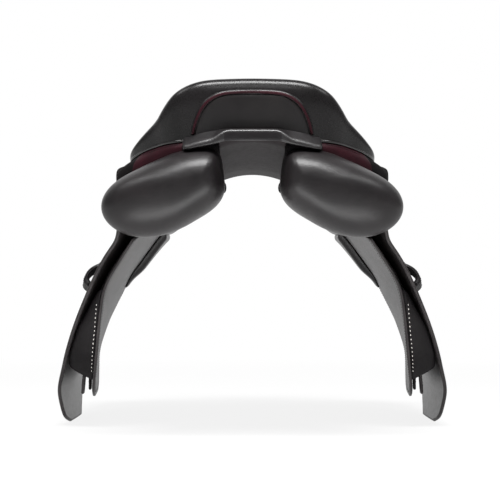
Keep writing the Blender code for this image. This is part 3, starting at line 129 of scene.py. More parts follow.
def step01(low, high, value):
    # Smooth step: 0 below, 1 above, 3t^2 - 2t^3 between
    t = np.clip((value - low) / (high - low), 0, 1)
    return t * t * (3 - 2 * t)


def rise(distance, radius):
    # Quarter circle: 0 at the edge, 1 from the radius inwards
    t = 1 - np.clip(distance / radius, 0, 1)
    return np.sqrt(np.maximum(1 - t * t, 0))


def bell(value, middle, width):
    # e to the power of minus the squared distance from the middle, in widths
    return np.exp(-((value - middle) / width) ** 2)


def grid3(x, y, z):
    # Grids of the three coordinates as one grid of points
    return np.stack([x, y, z], axis=-1)


# Meshes. A shape is its points, its quads, a uv for each point and a material number for each quad

def quadGrid(n, m, start=0, flip=False, closed=False):
    # Quads of an n by m grid of points; closed joins its last column to its first
    i, j = np.meshgrid(np.arange(n - 1), np.arange(m if closed else m - 1), indexing="ij")
    i, j = i.ravel(), j.ravel()
    k = (j + 1) % m
    quads = np.stack([i * m + j, (i + 1) * m + j, (i + 1) * m + k, i * m + k], axis=1) + start
    return quads[:, ::-1] if flip else quads


def strip(a, b, closed=True):
    # Quads between two rows of point numbers
    quads = np.stack([a, np.roll(a, -1), np.roll(b, -1), b], axis=1)
    return quads if closed else quads[:-1]


def borderOf(n, m):
    # Numbers of a grid's border points, once round
    index = np.arange(n * m).reshape(n, m)
    return np.concatenate([index[:, 0], index[-1, 1:], index[-2::-1, -1], index[0, -2:0:-1]])


def flatUv(grid):
    # Distances along the rows and columns of a grid, in metres
    across = np.linalg.norm(np.diff(grid, axis=1), axis=2)
    along = np.linalg.norm(np.diff(grid, axis=0), axis=2)
    u = np.concatenate([np.zeros((grid.shape[0], 1)), np.cumsum(across, axis=1)], axis=1)
    v = np.concatenate([np.zeros((1, grid.shape[1])), np.cumsum(along, axis=0)], axis=0)
    return np.stack([u, v], axis=-1).reshape(-1, 2)


def gridNormals(grid, facing):
    # Cross product of the steps along rows and columns, turned to face one way
    normal = unit(np.cross(np.gradient(grid, axis=0), np.gradient(grid, axis=1)))
    return normal if (normal.reshape(-1, 3) @ np.asarray(facing, float)).mean() > 0 else -normal


def newPiece(name, shape, look, slotName=None, nodes=(), body="saddle", side=1, fill=None):
    # Puts a shape into a mesh, merges its doubles and points its faces outwards. Side -1 mirrors it, and
    # * in a name stands for left or right. A sheet given one look has it on face, back and edge
    points, quads, uv, parts = shape
    named = lambda text: text.replace("*", "left" if side < 0 else "right")
    mesh = bpy.data.meshes.new(named(name))
    mesh.vertices.add(len(points))
    mesh.vertices.foreach_set("co", np.ascontiguousarray(points * [side, 1, 1], dtype=np.float32).ravel())
    mesh.loops.add(quads.size)
    mesh.loops.foreach_set("vertex_index", np.ascontiguousarray(quads, dtype=np.int32).ravel())
    mesh.polygons.add(len(quads))
    mesh.polygons.foreach_set("loop_start", np.arange(0, quads.size, 4, dtype=np.int32))
    if parts is not None:
        mesh.polygons.foreach_set("material_index", np.ascontiguousarray(parts, dtype=np.int32))
    if uv is not None:
        layer = mesh.uv_layers.new(name="UVMap")
        layer.data.foreach_set("uv", np.ascontiguousarray(uv[quads.ravel()], dtype=np.float32).ravel())
    mesh.update(calc_edges=True)
    mesh.validate()
    build = bmesh.new()
    build.from_mesh(mesh)
    bmesh.ops.remove_doubles(build, verts=build.verts, dist=2e-6)
    bmesh.ops.dissolve_degenerate(build, edges=build.edges, dist=1e-7)
    bmesh.ops.recalc_face_normals(build, faces=build.faces)
    if build.calc_volume(signed=True) < 0:
        bmesh.ops.reverse_faces(build, faces=build.faces)
    build.to_mesh(mesh)
    build.free()
    words = look.split()
    for word in words * 3 if len(words) == 1 and parts is not None else words:
        mesh.materials.append(looks[word])
    mesh.shade_smooth()
    piece = bpy.data.objects.new(named(name), mesh)
    bpy.context.scene.collection.objects.link(piece)
    if body:
        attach(piece, named(body))
    if nodes:
        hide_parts(*[named(node) for node in nodes])
    return piece


def newPair(name, *rest, **more):
    # The left and the right piece of one shape, by their words
    return {word: newPiece(name, *rest, side=side, **more) for word, side in sides.items()}


def joined(shapes):
    # Several shapes as one, without their uv
    starts = np.cumsum([0] + [len(shape[0]) for shape in shapes])
    quads = [shape[1] + start for shape, start in zip(shapes, starts)]
    return np.concatenate([shape[0] for shape in shapes]), np.concatenate(quads), None, None


def sheet(outer, wall=None, facing=None, inner=None, rings=5):
    # A layer: the outer grid, the grid one wall inside it, and a half circle round the border
    n, m = outer.shape[:2]
    if inner is None:
        inner = outer - gridNormals(outer, facing) * wall
    border = borderOf(n, m)
    top, low = outer.reshape(-1, 3)[border], inner.reshape(-1, 3)[border]
    run = np.roll(top, -1, axis=0) - np.roll(top, 1, axis=0)
    away = unit(np.cross(run, top - low))
    centre = outer.reshape(-1, 3).mean(axis=0)
    if ((top - centre) * away).sum(axis=1).mean() < 0:
        away = -away
    half = 0.5 * np.linalg.norm(top - low, axis=1)[:, None]
    angles = np.linspace(0, np.pi, rings + 2)[1:-1]
    ring = [0.5 * (top + low) + 0.5 * (top - low) * np.cos(a) + away * half * np.sin(a) for a in angles]
    points = np.concatenate([outer.reshape(-1, 3), inner.reshape(-1, 3)] + ring)
    count = len(border)
    loops = [border] + [2 * n * m + k * count + np.arange(count) for k in range(rings)] + [border + n * m]
    faces = [quadGrid(n, m), quadGrid(n, m, n * m, True)]
    strips = [strip(a, b) for a, b in zip(loops, loops[1:])]
    parts = np.repeat([0, 1, 2], [len(faces[0]), len(faces[1]), sum(map(len, strips))])
    uv = flatUv(outer)
    return points, np.concatenate(faces + strips), np.concatenate([uv, uv] + [uv[border]] * rings), parts


def twoSheets(top, base, wall=False):
    # Two grids as one closed shape; they meet at their borders, or a wall joins these
    n, m = top.shape[:2]
    border = borderOf(n, m)
    quads = [quadGrid(n, m), quadGrid(n, m, n * m, True)] + [strip(border, border + n * m)] * wall
    return np.concatenate([top.reshape(-1, 3), base.reshape(-1, 3)]), np.concatenate(quads), None, None


def pad(base, direction, height, back=0.0006):
    # A stuffed form: a base grid, and the same grid raised by its height, which is 0 round the border
    top = base + direction * (height[..., None] + back * (height > 0)[..., None])
    uv = flatUv(top)
    return (*twoSheets(top, base)[:2], np.concatenate([uv, uv]), None)


def tube(path, up, profile, closed=False):
    # A closed profile (side, up) carried along a path, square to it; the ends close to a point
    ahead, behind = np.roll(path, -1, axis=0), np.roll(path, 1, axis=0)
    run = unit(ahead - behind if closed else np.gradient(path, axis=0))
    up = np.broadcast_to(up, path.shape)
    up = unit(up - run * (up * run).sum(axis=1, keepdims=True))
    across = np.cross(run, up)
    rings = path[:, None] + across[:, None] * profile[None, :, 0:1] + up[:, None] * profile[None, :, 1:2]
    if not closed:
        middle = rings.mean(axis=1, keepdims=True)
        reach = np.abs(profile).max()
        caps = [[middle[end] + (rings[end] - middle[end]) * math.cos(a)
                 + sign * run[end] * reach * math.sin(a)
                 for a in (0.6, 1.1, math.pi / 2)] for end, sign in ((0, -1), (-1, 1))]
        rings = np.concatenate([np.array(caps[0])[::-1], rings, np.array(caps[1])])
    n, m = rings.shape[:2]
    quads = quadGrid(n, m, closed=True)
    if closed:
        last, first = (n - 1) * m + np.arange(m), np.arange(m)
        joint = np.stack([last, first, np.roll(first, -1), np.roll(last, -1)], axis=1)
        quads = np.concatenate([quads, joint])
    points = rings.reshape(-1, 3)
    return points, quads, np.stack([points[:, 1] + points[:, 0], points[:, 2]], axis=1), None


def closedTube(rings, parts=None):
    # Rings joined into a tube, each end drawn to the mean of its ring
    ends = [np.broadcast_to(rings[k].mean(axis=0), rings[k].shape)[None] for k in (0, -1)]
    rings = np.concatenate([ends[0], rings, ends[1]])
    return rings.reshape(-1, 3), quadGrid(*rings.shape[:2], closed=True), None, parts


def roundProfile(radius, count=12):
    # Points round a circle
    angle = np.linspace(0, 2 * np.pi, count, endpoint=False)
    return np.stack([radius * np.cos(angle), radius * np.sin(angle)], axis=1)


def stitchRow(path, up, pitch, length, radius):
    # Short round-ended bars, one each pitch along a path, half sunk in the leather
    up = np.broadcast_to(up, np.shape(path))
    along = distances(path)
    where = np.arange(0.5 * pitch, along[-1] - 0.5 * pitch, pitch)
    at = lambda table, s: np.stack([np.interp(s, along, table[:, k]) for k in range(3)], axis=-1)
    centre = at(path, where)
    run = unit(at(path, where + 0.3 * pitch) - at(path, where - 0.3 * pitch))
    out = unit(at(up, where))
    out = unit(out - run * (out * run).sum(axis=1, keepdims=True))
    across = np.cross(run, out)
    angle = np.linspace(0, 2 * np.pi, 6, endpoint=False)
    stations = np.array([-1, -0.82, -0.4, 0.4, 0.82, 1]) * 0.5 * length
    width = np.array([0.02, 0.75, 1, 1, 0.75, 0.02]) * radius
    points = (centre[:, None, None] + run[:, None, None] * stations[None, :, None, None]
              + across[:, None, None] * (width[:, None] * np.cos(angle))[None, :, :, None]
              + out[:, None, None] * (width[:, None] * np.sin(angle))[None, :, :, None])
    quads = quadGrid(6, 6, closed=True)[None] + 36 * np.arange(len(centre))[:, None, None]
    return points.reshape(-1, 3), quads.reshape(-1, 4), None, None


def stitches(rows, pitch=0.004, length=0.0029, radius=0.00042):
    # Rows of stitches, each a path and its up, as one shape
    return joined([stitchRow(path, up, pitch, length, radius) for path, up in rows])


def cast(piece, starts, direction, lift=0.0):
    # Where rays meet a piece, raised off it by the lift, and its normals there; nan where they miss
    tree = BVHTree.FromObject(piece, bpy.context.evaluated_depsgraph_get())
    hits = [tree.ray_cast(Vector(start), Vector(direction))[:2] for start in starts]
    missed = (math.nan, math.nan, math.nan)
    spots = np.array([hit + normal * lift if hit else missed for hit, normal in hits])
    return spots, np.array([normal if hit else missed for hit, normal in hits])


def fromRear(x, z, y=-0.4):
    # Starts of rays that look forwards from behind the saddle
    return np.stack([x, np.full_like(x, y), z], axis=-1).reshape(-1, 3)


# Materials

def fromHex(text):
    # sRGB hex to linear: v / 12.92 up to 0.04045, ((v + 0.055) / 1.055)^2.4 above
    value = np.array([int(text[i:i + 2], 16) for i in (1, 3, 5)]) / 255
    linear = np.where(value <= 0.04045, value / 12.92, ((value + 0.055) / 1.055) ** 2.4)
    return (*[float(v) for v in linear], 1.0)


def grey(value):
    # A colour of three equal parts
    return (value, value, value, 1.0)


def wire(tree, node, inputs):
    # Each input takes its value, or a link from the output given
    for key, value in inputs.items():
        if isinstance(value, bpy.types.NodeSocket):
            tree.links.new(value, node.inputs[key])
        else:
            node.inputs[key].default_value = value


def addNode(tree, kind, inputs, stops=(), **settings):
    # One node with its settings, inputs and, on a colour ramp, its two stops
    node = tree.nodes.new("ShaderNode" + kind)
    for key, value in settings.items():
        setattr(node, key, value)
    wire(tree, node, inputs)
    for number, (place, colour) in enumerate(stops):
        node.color_ramp.elements[number].position = place
        node.color_ramp.elements[number].color = colour
    return node


def newLook(name, inputs):
    # A material, its tree and shader, and the object coordinates that its patterns lie in
    material = bpy.data.materials.new(name)
    material.use_nodes = True
    tree = material.node_tree
    shader = tree.nodes["Principled BSDF"]
    wire(tree, shader, inputs)
    return material, tree, shader, addNode(tree, "TexCoord", {}).outputs["Object"]


def leather(name, dark, light, rough, grain, depth, crease=0.25, specular=0.5, sheen=0.0):
    # Drum-dyed hide: pebbles from cell borders, soft creases from noise, patches of wax from larger noise.
    # Grain is the pebbles' size in millimetres
    material, tree, shader, place = newLook(name, {"Specular IOR Level": specular, "Sheen Weight": sheen,
                                                   "Sheen Roughness": 0.45})
    patches = addNode(tree, "TexNoise", {"Vector": place, "Scale": 22.0, "Detail": 4.0, "Roughness": 0.6})
    creases = addNode(tree, "TexNoise", {"Vector": place, "Scale": 160.0, "Detail": 5.0, "Roughness": 0.7,
                                         "Distortion": 0.6})
    pebbles = addNode(tree, "TexVoronoi", {"Vector": place, "Scale": 1000.0 / grain, "Randomness": 1.0},
                      feature="DISTANCE_TO_EDGE")
    pebble = addNode(tree, "Math", {0: pebbles.outputs["Distance"], 1: 0.22}, operation="MINIMUM")
    height = addNode(tree, "Math", {0: creases.outputs["Fac"], 1: crease, 2: pebble.outputs[0]},
                     operation="MULTIPLY_ADD")
    bump = addNode(tree, "Bump", {"Height": height.outputs[0], "Strength": depth, "Distance": 0.0006})
    colour = addNode(tree, "ValToRGB", {"Fac": patches.outputs["Fac"]},
                     ((0.30, fromHex(dark)), (0.72, fromHex(light))))
    gloss = addNode(tree, "ValToRGB", {"Fac": creases.outputs["Fac"]},
                    ((0.25, grey(max(rough - 0.06, 0.05))), (0.75, grey(rough + 0.07))))
    wire(tree, shader, {"Base Color": colour.outputs[0], "Roughness": gloss.outputs[0],
                        "Normal": bump.outputs[0]})
    return material


def thread(name, dark, light, rough=0.6, specular=0.4):
    # Waxed linen thread: twisted plies catch light in small steps
    material, tree, shader, place = newLook(name, {"Roughness": rough, "Specular IOR Level": specular})
    twist = addNode(tree, "TexNoise", {"Vector": place, "Scale": 1800.0, "Detail": 2.0})
    colour = addNode(tree, "ValToRGB", {"Fac": twist.outputs["Fac"]},
                     ((0.3, fromHex(dark)), (0.7, fromHex(light))))
    bump = addNode(tree, "Bump", {"Height": twist.outputs["Fac"], "Strength": 0.4, "Distance": 0.0003})
    wire(tree, shader, {"Base Color": colour.outputs[0], "Normal": bump.outputs[0]})
    return material


def steel(name, colour, rough):
    # Plated steel: bright, with fine handling scratches along y that stretch the highlights
    material, tree, shader, place = newLook(name, {"Metallic": 1.0, "Base Color": fromHex(colour)})
    turned = addNode(tree, "Mapping", {"Vector": place, "Scale": (1.0, 0.08, 1.0)})
    lines = addNode(tree, "TexNoise", {"Vector": turned.outputs[0], "Scale": 900.0, "Detail": 3.0})
    gloss = addNode(tree, "ValToRGB", {"Fac": lines.outputs["Fac"]},
                    ((0.3, grey(rough)), (0.75, grey(rough + 0.16))))
    bump = addNode(tree, "Bump", {"Height": lines.outputs["Fac"], "Strength": 0.12, "Distance": 0.0002})
    wire(tree, shader, {"Roughness": gloss.outputs[0], "Normal": bump.outputs[0]})
    return material


def webbing(name, dark, light, spacing):
    # Plain woven cotton web: two sets of waves at right angles, multiplied, a wave to every two threads
    material, tree, shader, place = newLook(name, {"Roughness": 0.85, "Sheen Weight": 0.2})
    wave = {"Vector": place, "Scale": 1.0 / (spacing * 6.28), "Distortion": 0.3}
    warp, weft = (addNode(tree, "TexWave", wave, bands_direction=way) for way in "YZ")
    both = addNode(tree, "Math", {0: warp.outputs["Fac"], 1: weft.outputs["Fac"]}, operation="MULTIPLY")
    colour = addNode(tree, "ValToRGB", {"Fac": both.outputs[0]},
                     ((0.0, fromHex(dark)), (0.6, fromHex(light))))
    bump = addNode(tree, "Bump", {"Height": both.outputs[0], "Strength": 0.5, "Distance": 0.0005})
    wire(tree, shader, {"Base Color": colour.outputs[0], "Normal": bump.outputs[0]})
    return material


looks = {
    # Calf, waxed smooth: the tight seat shows long clean highlights
    "seat": leather("waxed calf", "#0e0d0d", "#161415", 0.28, 1.6, 0.06, crease=0.20, specular=0.23),
    # Printed grain cowhide of the panels, drawn at 1.8 mm so it shows
    "panel": leather("panel cowhide", "#110f10", "#1c191a", 0.36, 1.8, 0.26, crease=0.45, specular=0.32),
    # The bridge: the same hide pulled wet over a board, so it is hard and shiny. Its upright face takes a
    # darker, duller copy of it: painted shade
    "bridge": leather("pressed cowhide", "#110f10", "#1a1819", 0.36, 1.5, 0.18, specular=0.46),
    "bridgeFace": leather("pressed cowhide, painted shade", "#100e0f", "#181617", 0.46, 1.5, 0.18, specular=0.16),
    # Welt: a thin strip rolled over cord, rubbed to a hard shine
    "welt": leather("rolled welt", "#0d0c0c", "#161415", 0.22, 1.2, 0.06, specular=0.75),
    # Inset: calf left unwaxed, so the cantle's middle stays dull
    "inset": leather("matt calf", "#110f10", "#1a1818", 0.42, 1.5, 0.14, specular=0.22),
    # Flap leather: thick, rolled, a little drier
    "flap": leather("flap cowhide", "#141213", "#201d1e", 0.35, 2.0, 0.18, crease=0.3, specular=0.28),
    # Horse side of the flaps: same hide, painted pale grey for the sheen that grazing light puts on it
    "under": leather("lining cowhide, painted sheen", "#292727", "#413e3f", 0.46, 2.4, 0.34, crease=0.7, specular=0.40,
                     sheen=0.1),
    # Flap's inner face: the same hide, waxed, painted darker than the lining for the shade between the panel
    # and the sweat flap
    "flapBack": leather("waxed flap lining, painted shade", "#171515", "#282525", 0.38, 2.2, 0.24, crease=0.5,
                        specular=0.55),
    # Cut edge: dyed, burnished and rubbed grey
    "edge": leather("burnished edge", "#242122", "#363333", 0.42, 1.2, 0.10, specular=0.18),
    # Straps and blocks: firm hide with little wax, so they stay dark and dull
    "strap": leather("bridle leather", "#100e0f", "#191718", 0.42, 1.4, 0.10, specular=0.22),
    "block": leather("block cowhide", "#110f10", "#191718", 0.48, 1.6, 0.12, specular=0.12),
    # Dark red calf of the piping and bands
    "red": leather("dark red calf", "#1c080d", "#2b0c14", 0.50, 1.4, 0.16, crease=0.3, specular=0.10),
    # Gusset under the seat's edge: painted near black and given little shine, for the shade that falls there
    "gusset": leather("gusset cowhide, painted shade", "#080707", "#131112", 0.75, 3.2, 0.60, crease=0.8, specular=0.06),
    # Roof of the channel: dry hide, lit only from below
    "roof": leather("channel cowhide", "#1a1718", "#252122", 0.62, 1.8, 0.14, specular=0.12),
    # Threads: black ones sink into the leather, pale ones stand out on the thigh blocks and tabs
    "thread": thread("black linen thread", "#0e0d0e", "#1c1a1b", 0.75, 0.15),
    "whiteThread": thread("pale linen thread", "#cfcbc5", "#f2eee8"),
    # Bars and nails: nickel plate, bright and grey; the dees are plated black
    "steel": steel("nickel plated steel", "#c9c8c6", 0.22),
    "darkSteel": steel("black nickel steel", "#2b2a2b", 0.28),
    # Hidden layers: painted plies, open foam and cotton web with 1.2 mm threads
    "tree": leather("painted laminate", "#26282a", "#303234", 0.55, 3.0, 0.05),
    "foam": leather("seat foam", "#b9b197", "#cfc8b0", 0.9, 1.2, 0.3),
    "web": webbing("cotton web", "#8c8066", "#c4b898", 0.0012),
}
print("materials ready")


# Seat

seat = {
    "rim": ((0, -0.224, 0.4518), (0.055, -0.223, 0.45), (0.087, -0.216, 0.44), (0.103, -0.202, 0.4228),
            (0.1145, -0.188, 0.4055), (0.137, -0.163, 0.385), (0.153, -0.135, 0.366), (0.156, -0.105, 0.355),
            (0.14, -0.07, 0.348), (0.117, -0.03, 0.3435), (0.099, 0.005, 0.3415), (0.0925, 0.05, 0.3415),
            (0.086, 0.1, 0.344), (0.08, 0.15, 0.35), (0.0725, 0.19, 0.362), (0.05, 0.217, 0.38),
            (0.025, 0.229, 0.3915), (0, 0.232, 0.395)),
    "hem": ((0, -0.2285, 0.3765), (0.055, -0.2275, 0.3765), (0.086, -0.221, 0.3758), (0.106, -0.206, 0.3744),
            (0.1215, -0.188, 0.3714), (0.1425, -0.163, 0.3642), (0.1565, -0.1345, 0.3538),
            (0.1565, -0.105, 0.343), (0.1405, -0.07, 0.338), (0.1175, -0.03, 0.335), (0.0998, 0.005, 0.3335),
            (0.0935, 0.05, 0.3345), (0.0872, 0.1, 0.336), (0.081, 0.15, 0.338), (0.0735, 0.19, 0.341),
            (0.052, 0.218, 0.35), (0.027, 0.2305, 0.3525), (0, 0.234, 0.354)),
    "spine": ((-0.175, 0.413), (-0.15, 0.401), (-0.1, 0.383), (-0.05, 0.372), (0, 0.368), (0.05, 0.37),
              (0.1, 0.377), (0.15, 0.388), (0.2, 0.3965)),
    # rim point, reach of the handle inwards, its rise
    "ends": ((0, 0.030, -0.003), (3, 0.030, 0), (6, 0.036, 0.007), (9, 0.022, 0.013), (12, 0.016, 0.014),
             (14, 0.016, 0.013), (17, 0.020, 0.003)),
    # rim point, how far the rim rolls outwards
    "roll": ((0, 0.0215), (2, 0.0225), (3, 0.0185), (5, 0.0085), (8, 0.0050), (13, 0.0045), (15, 0.010),
             (17, 0.0130)),
    "rearBound": 0.19, "frontBound": 0.28,         # the ribs start at most this far from the middle
    "dip": 0.35, "underRoll": 0.35, "underLift": 0.45,      # how the two handles of the side follow the rim
    "handle": 0.42, "slopeStep": 0.004, "wall": 0.0024, "ribs": 181, "inner": 64, "outer": 34,
    "seam": 0.66, "seamDepth": 0.0011, "seamWidth": 0.018,        # place and width as shares of a rib
    "welt": 0.035, "weltRise": 0.0006, "weltWidth": 0.030, "rows": (-0.045, 0.075),     # beside the seam
}


def bezier(a, b, c, d, t):
    # Cubic Bezier from a to d, one for each row: a(1-t)^3 + 3bt(1-t)^2 + 3ct^2(1-t) + dt^3
    t = t[None, :, None]
    a, b, c, d = (p[:, None, :] for p in (a, b, c, d))
    return a * (1 - t) ** 3 + 3 * b * t * (1 - t) ** 2 + 3 * c * t * t * (1 - t) + d * t ** 3


def seatHalf():
    # Each rib is two cubic Beziers: from the spine out to the rim, and from the rim down to the hem
    ribs = seat["ribs"]
    where = np.linspace(0, len(seat["rim"]) - 1, ribs)
    rim, hem = curve(seat["rim"], where), curve(seat["hem"], where)
    wrap = ribs // 22                              # so many ribs are mirrored past each end and blurred along
    for table in (rim, hem):
        longer = np.concatenate([table[wrap:0:-1] * [-1, 1, 1], table, table[-2:-wrap - 2:-1] * [-1, 1, 1]])
        table[:] = blur(longer, 14)[wrap:-wrap]
        table[0, 0] = table[-1, 0] = 0
    reach, lift = column(seat["ends"], where), column(seat["ends"], where, 2)
    roll = column(seat["roll"], where)
    run = unit(np.gradient(rim[:, :2], axis=0))
    outward = np.stack([run[:, 1], -run[:, 0]], axis=1)
    outward[0], outward[-1] = (0, -1), (0, 1)
    bound = np.where(rim[:, 1] < 0, seat["rearBound"], seat["frontBound"])
    middleY = bound * np.tanh(rim[:, 1] / bound)
    middleZ = np.convolve(np.pad(column(seat["spine"], middleY), 6, mode="edge"), np.ones(13) / 13, "valid")
    s = seat["slopeStep"]
    tilt = (column(seat["spine"], middleY + s) - column(seat["spine"], middleY - s)) / (2 * s)
    middle = grid3(np.zeros(ribs), middleY, middleZ)
    flat = rim[:, :2] - middle[:, :2]
    inner, outer = middle.copy(), rim.copy()
    inner[:, :2] += flat * seat["handle"]
    inner[:, 2] += tilt * flat[:, 1] * seat["handle"]
    outer[:, :2] -= unit(flat) * np.minimum(reach, 0.45 * np.linalg.norm(flat, axis=1))[:, None]
    outer[:, 2] += lift
    top = bezier(middle, inner, outer, rim, np.linspace(0, 1, seat["inner"]))
    over, under = rim.copy(), hem.copy()
    over[:, :2] += outward * roll[:, None]
    over[:, 2] -= lift * seat["dip"]
    under[:, :2] += outward * roll[:, None] * seat["underRoll"]
    under[:, 2] += seat["underLift"] * (rim[:, 2] - hem[:, 2])
    side = bezier(rim, over, under, hem, np.linspace(0, 1, seat["outer"]))[:, 1:]
    both = np.concatenate([top, side], axis=1)
    both[0, :, 0] = both[-1, :, 0] = 0
    both[:, 0, 0] = 0
    return blur(both, 8, axis=1)


def halfNormals(grid):
    # Normals of a half surface, with no sideways part where it meets the centre plane
    normal = np.cross(np.gradient(grid, axis=1), np.gradient(grid, axis=0))
    normal[np.abs(grid[..., 0]) < 1e-9, 0] = 0
    normal[0, 0], normal[-1, 0] = normal[1, 0], normal[-2, 0]
    return unit(normal)


def hemmed(half, normal, wall, rings=5):
    # Skin, lining and a rounded hem between them, for both halves
    n, m = half.shape[:2]
    inner = half - normal * wall
    top, low = half[:, -1], inner[:, -1]
    away = unit(half[:, -1] - half[:, -2])
    ring = [0.5 * (top + low) + 0.5 * (top - low) * math.cos(a) + away * 0.5 * wall * math.sin(a)
            for a in np.linspace(0, math.pi, rings + 2)[1:-1]]
    points = np.concatenate([half.reshape(-1, 3), inner.reshape(-1, 3)] + ring)
    last = np.arange(n) * m + m - 1
    loops = [last] + [2 * n * m + k * n + np.arange(n) for k in range(rings)] + [n * m + last]
    faces = [quadGrid(n, m), quadGrid(n, m, n * m, True)]
    strips = [strip(a, b, closed=False) for a, b in zip(loops, loops[1:])]
    parts = np.repeat([0, 1, 0], [len(faces[0]), len(faces[1]), sum(map(len, strips))])
    quads = np.concatenate(faces + strips)
    both = np.concatenate([points, points * [-1, 1, 1]])
    return both, np.concatenate([quads, quads[:, ::-1] + len(points)]), None, np.concatenate([parts, parts])


def makeSeat():
    # A sewn line runs along the seat, sunk beside a low welt, with a row of stitches on each side of it
    half = seatHalf()
    normal = halfNormals(half)
    share = np.linspace(0, 1, seat["inner"])
    depth = np.zeros(half.shape[1])
    depth[:seat["inner"]] = (bell(share, seat["seam"], seat["seamWidth"]) * seat["seamDepth"]
                             - bell(share - seat["seam"], seat["welt"], seat["weltWidth"]) * seat["weltRise"])
    half = half - normal * depth[None, :, None]
    piece = newPiece("seatSkin", hemmed(half, normal, seat["wall"]), "seat under", "seat_leather",
                     ["seat_cover"], fill=0.9)
    number = [int(round((seat["seam"] + offset) * (seat["inner"] - 1))) for offset in seat["rows"]]
    rows = [(half[:, k] * [side, 1, 1], normal[:, k] * [side, 1, 1]) for k in number for side in (1, -1)]
    newPiece("seatStitches", stitches(rows), "thread", "seat_leather")
    return piece


seatSkin = makeSeat()
print("seat ready")

trim = {
    "edge": ((0.0735, 0.383), (0.0715, 0.393), (0.068, 0.403), (0.061, 0.4165), (0.05, 0.4265),
             (0.035, 0.432), (0, 0.4334)),
    "radius": 0.0017, "flange": (0.0034, 0.0003, 0.0004),         # half width, depth below, height above
    "insetLow": 0.3800, "insetLift": 0.0014, "insetRound": 0.006, "insetBack": 0.0004, "gap": 0.0010,
    "rows": 40, "columns": 61,
}


def makeCantleTrim():
    # The piping's path and the inset's rows are cast from behind on to the back of the cantle
    radius, (wide, below, above) = trim["radius"], trim["flange"]
    half = blur(smoothPath(trim["edge"], 60), 30)
    edge = blur(np.concatenate([half, half[-2::-1] * [-1, 1]]), 12)
    path, up = cast(seatSkin, fromRear(*edge.T), (0, 1, 0), radius * 0.75)
    path, up = blur(path, 6), unit(blur(up, 6))
    newPiece("cantlePiping", tube(path, up, roundProfile(radius, 14)), "red", "red_leather",
             ["cantle_piping"])
    flange = np.array([[-wide, -below], [-wide, above], [wide, above], [wide, -below]])
    newPiece("cantlePipingFlange", tube(path - up * radius * 0.9, up, flange), "seat", "seat_leather")
    spare = radius + trim["gap"]
    low, top = trim["insetLow"], half[:, 1].max() - spare
    order = np.argsort(half[:, 1])
    rows, columns = trim["rows"], trim["columns"]
    z = low + (1 - (1 - np.linspace(0, 1, rows)) ** 1.6) * (top - low)
    share = (z - low) / (top - low)
    reach = np.interp(z + spare * share ** 3, half[order, 1], half[order, 0]) - spare
    u = np.sin(np.linspace(-0.5, 0.5, columns) * np.pi)
    starts = fromRear(u * reach[:, None], np.broadcast_to(z[:, None], (rows, columns)))
    grid, normal = (values.reshape(rows, columns, 3) for values in cast(seatSkin, starts, (0, 1, 0)))
    near = np.minimum(reach[:, None] * (1 - np.abs(u))[None], (top - z)[:, None])
    height = trim["insetLift"] * rise(near, trim["insetRound"]) + trim["insetBack"]
    face = softened(grid + normal * height[..., None], 3)
    newPiece("cantleInset", twoSheets(face, grid - normal * trim["insetBack"], wall=True), "inset",
             "seat_leather", ["cantle_inset"])


makeCantleTrim()
print("cantle trim ready")

# Bridge over the rear of the channel, and the channel's roof

bridge = {
    # x, top against the cantle, ridge at the rear, bottom
    "heights": ((0, 0.3888, 0.3866, 0.3738), (0.03, 0.3886, 0.3864, 0.3732), (0.037, 0.388, 0.384, 0.3722),
                (0.042, 0.3876, 0.38, 0.3705), (0.05, 0.3866, 0.375, 0.368), (0.06, 0.3848, 0.3724, 0.366),
                (0.076, 0.3805, 0.3684, 0.363), (0.084, 0.3774, 0.3664, 0.3615)),
    "end": 0.0866, "cap": 0.0030, "rear": -0.2475, "turn": 0.010, "step": 0.0015, "stepEnds": (0.030, 0.046),
    # y of the cantle's back where no ray meets it, how deep the bridge sits in it, its lowest z there
    "missed": -0.222, "sunk": 0.0002, "backLow": 0.3775, "underStep": 0.004, "underMost": -0.2240,
    "round": (0.0008, 0.0024, 0.0010, 0.0010),     # radius of each corner, from the top on
    "hollow": (0.0010, 0.45, 0.09), "count": 121,  # depth, and its place and width round the section
    "dull": 0.036, "dullFrom": 14, "dullTo": 27,   # the upright face's half width and its points in a section, where shade is painted
    "stitchReach": 0.080, "stitchDrop": 0.0046,
    "roof": ((-0.237, 0.3735), (-0.2, 0.369), (-0.15, 0.362), (-0.1, 0.356), (-0.05, 0.35), (0, 0.3468),
             (0.1, 0.3475), (0.228, 0.35)),
    "roofEnds": (-0.2385, 0.228), "half": 0.0405, "camber": 0.0070, "camberHalf": 0.040, "roofWall": 0.0018,
    "turnUp": 0.006, "turnFrom": -0.2320, "turnLength": 0.0065,
}


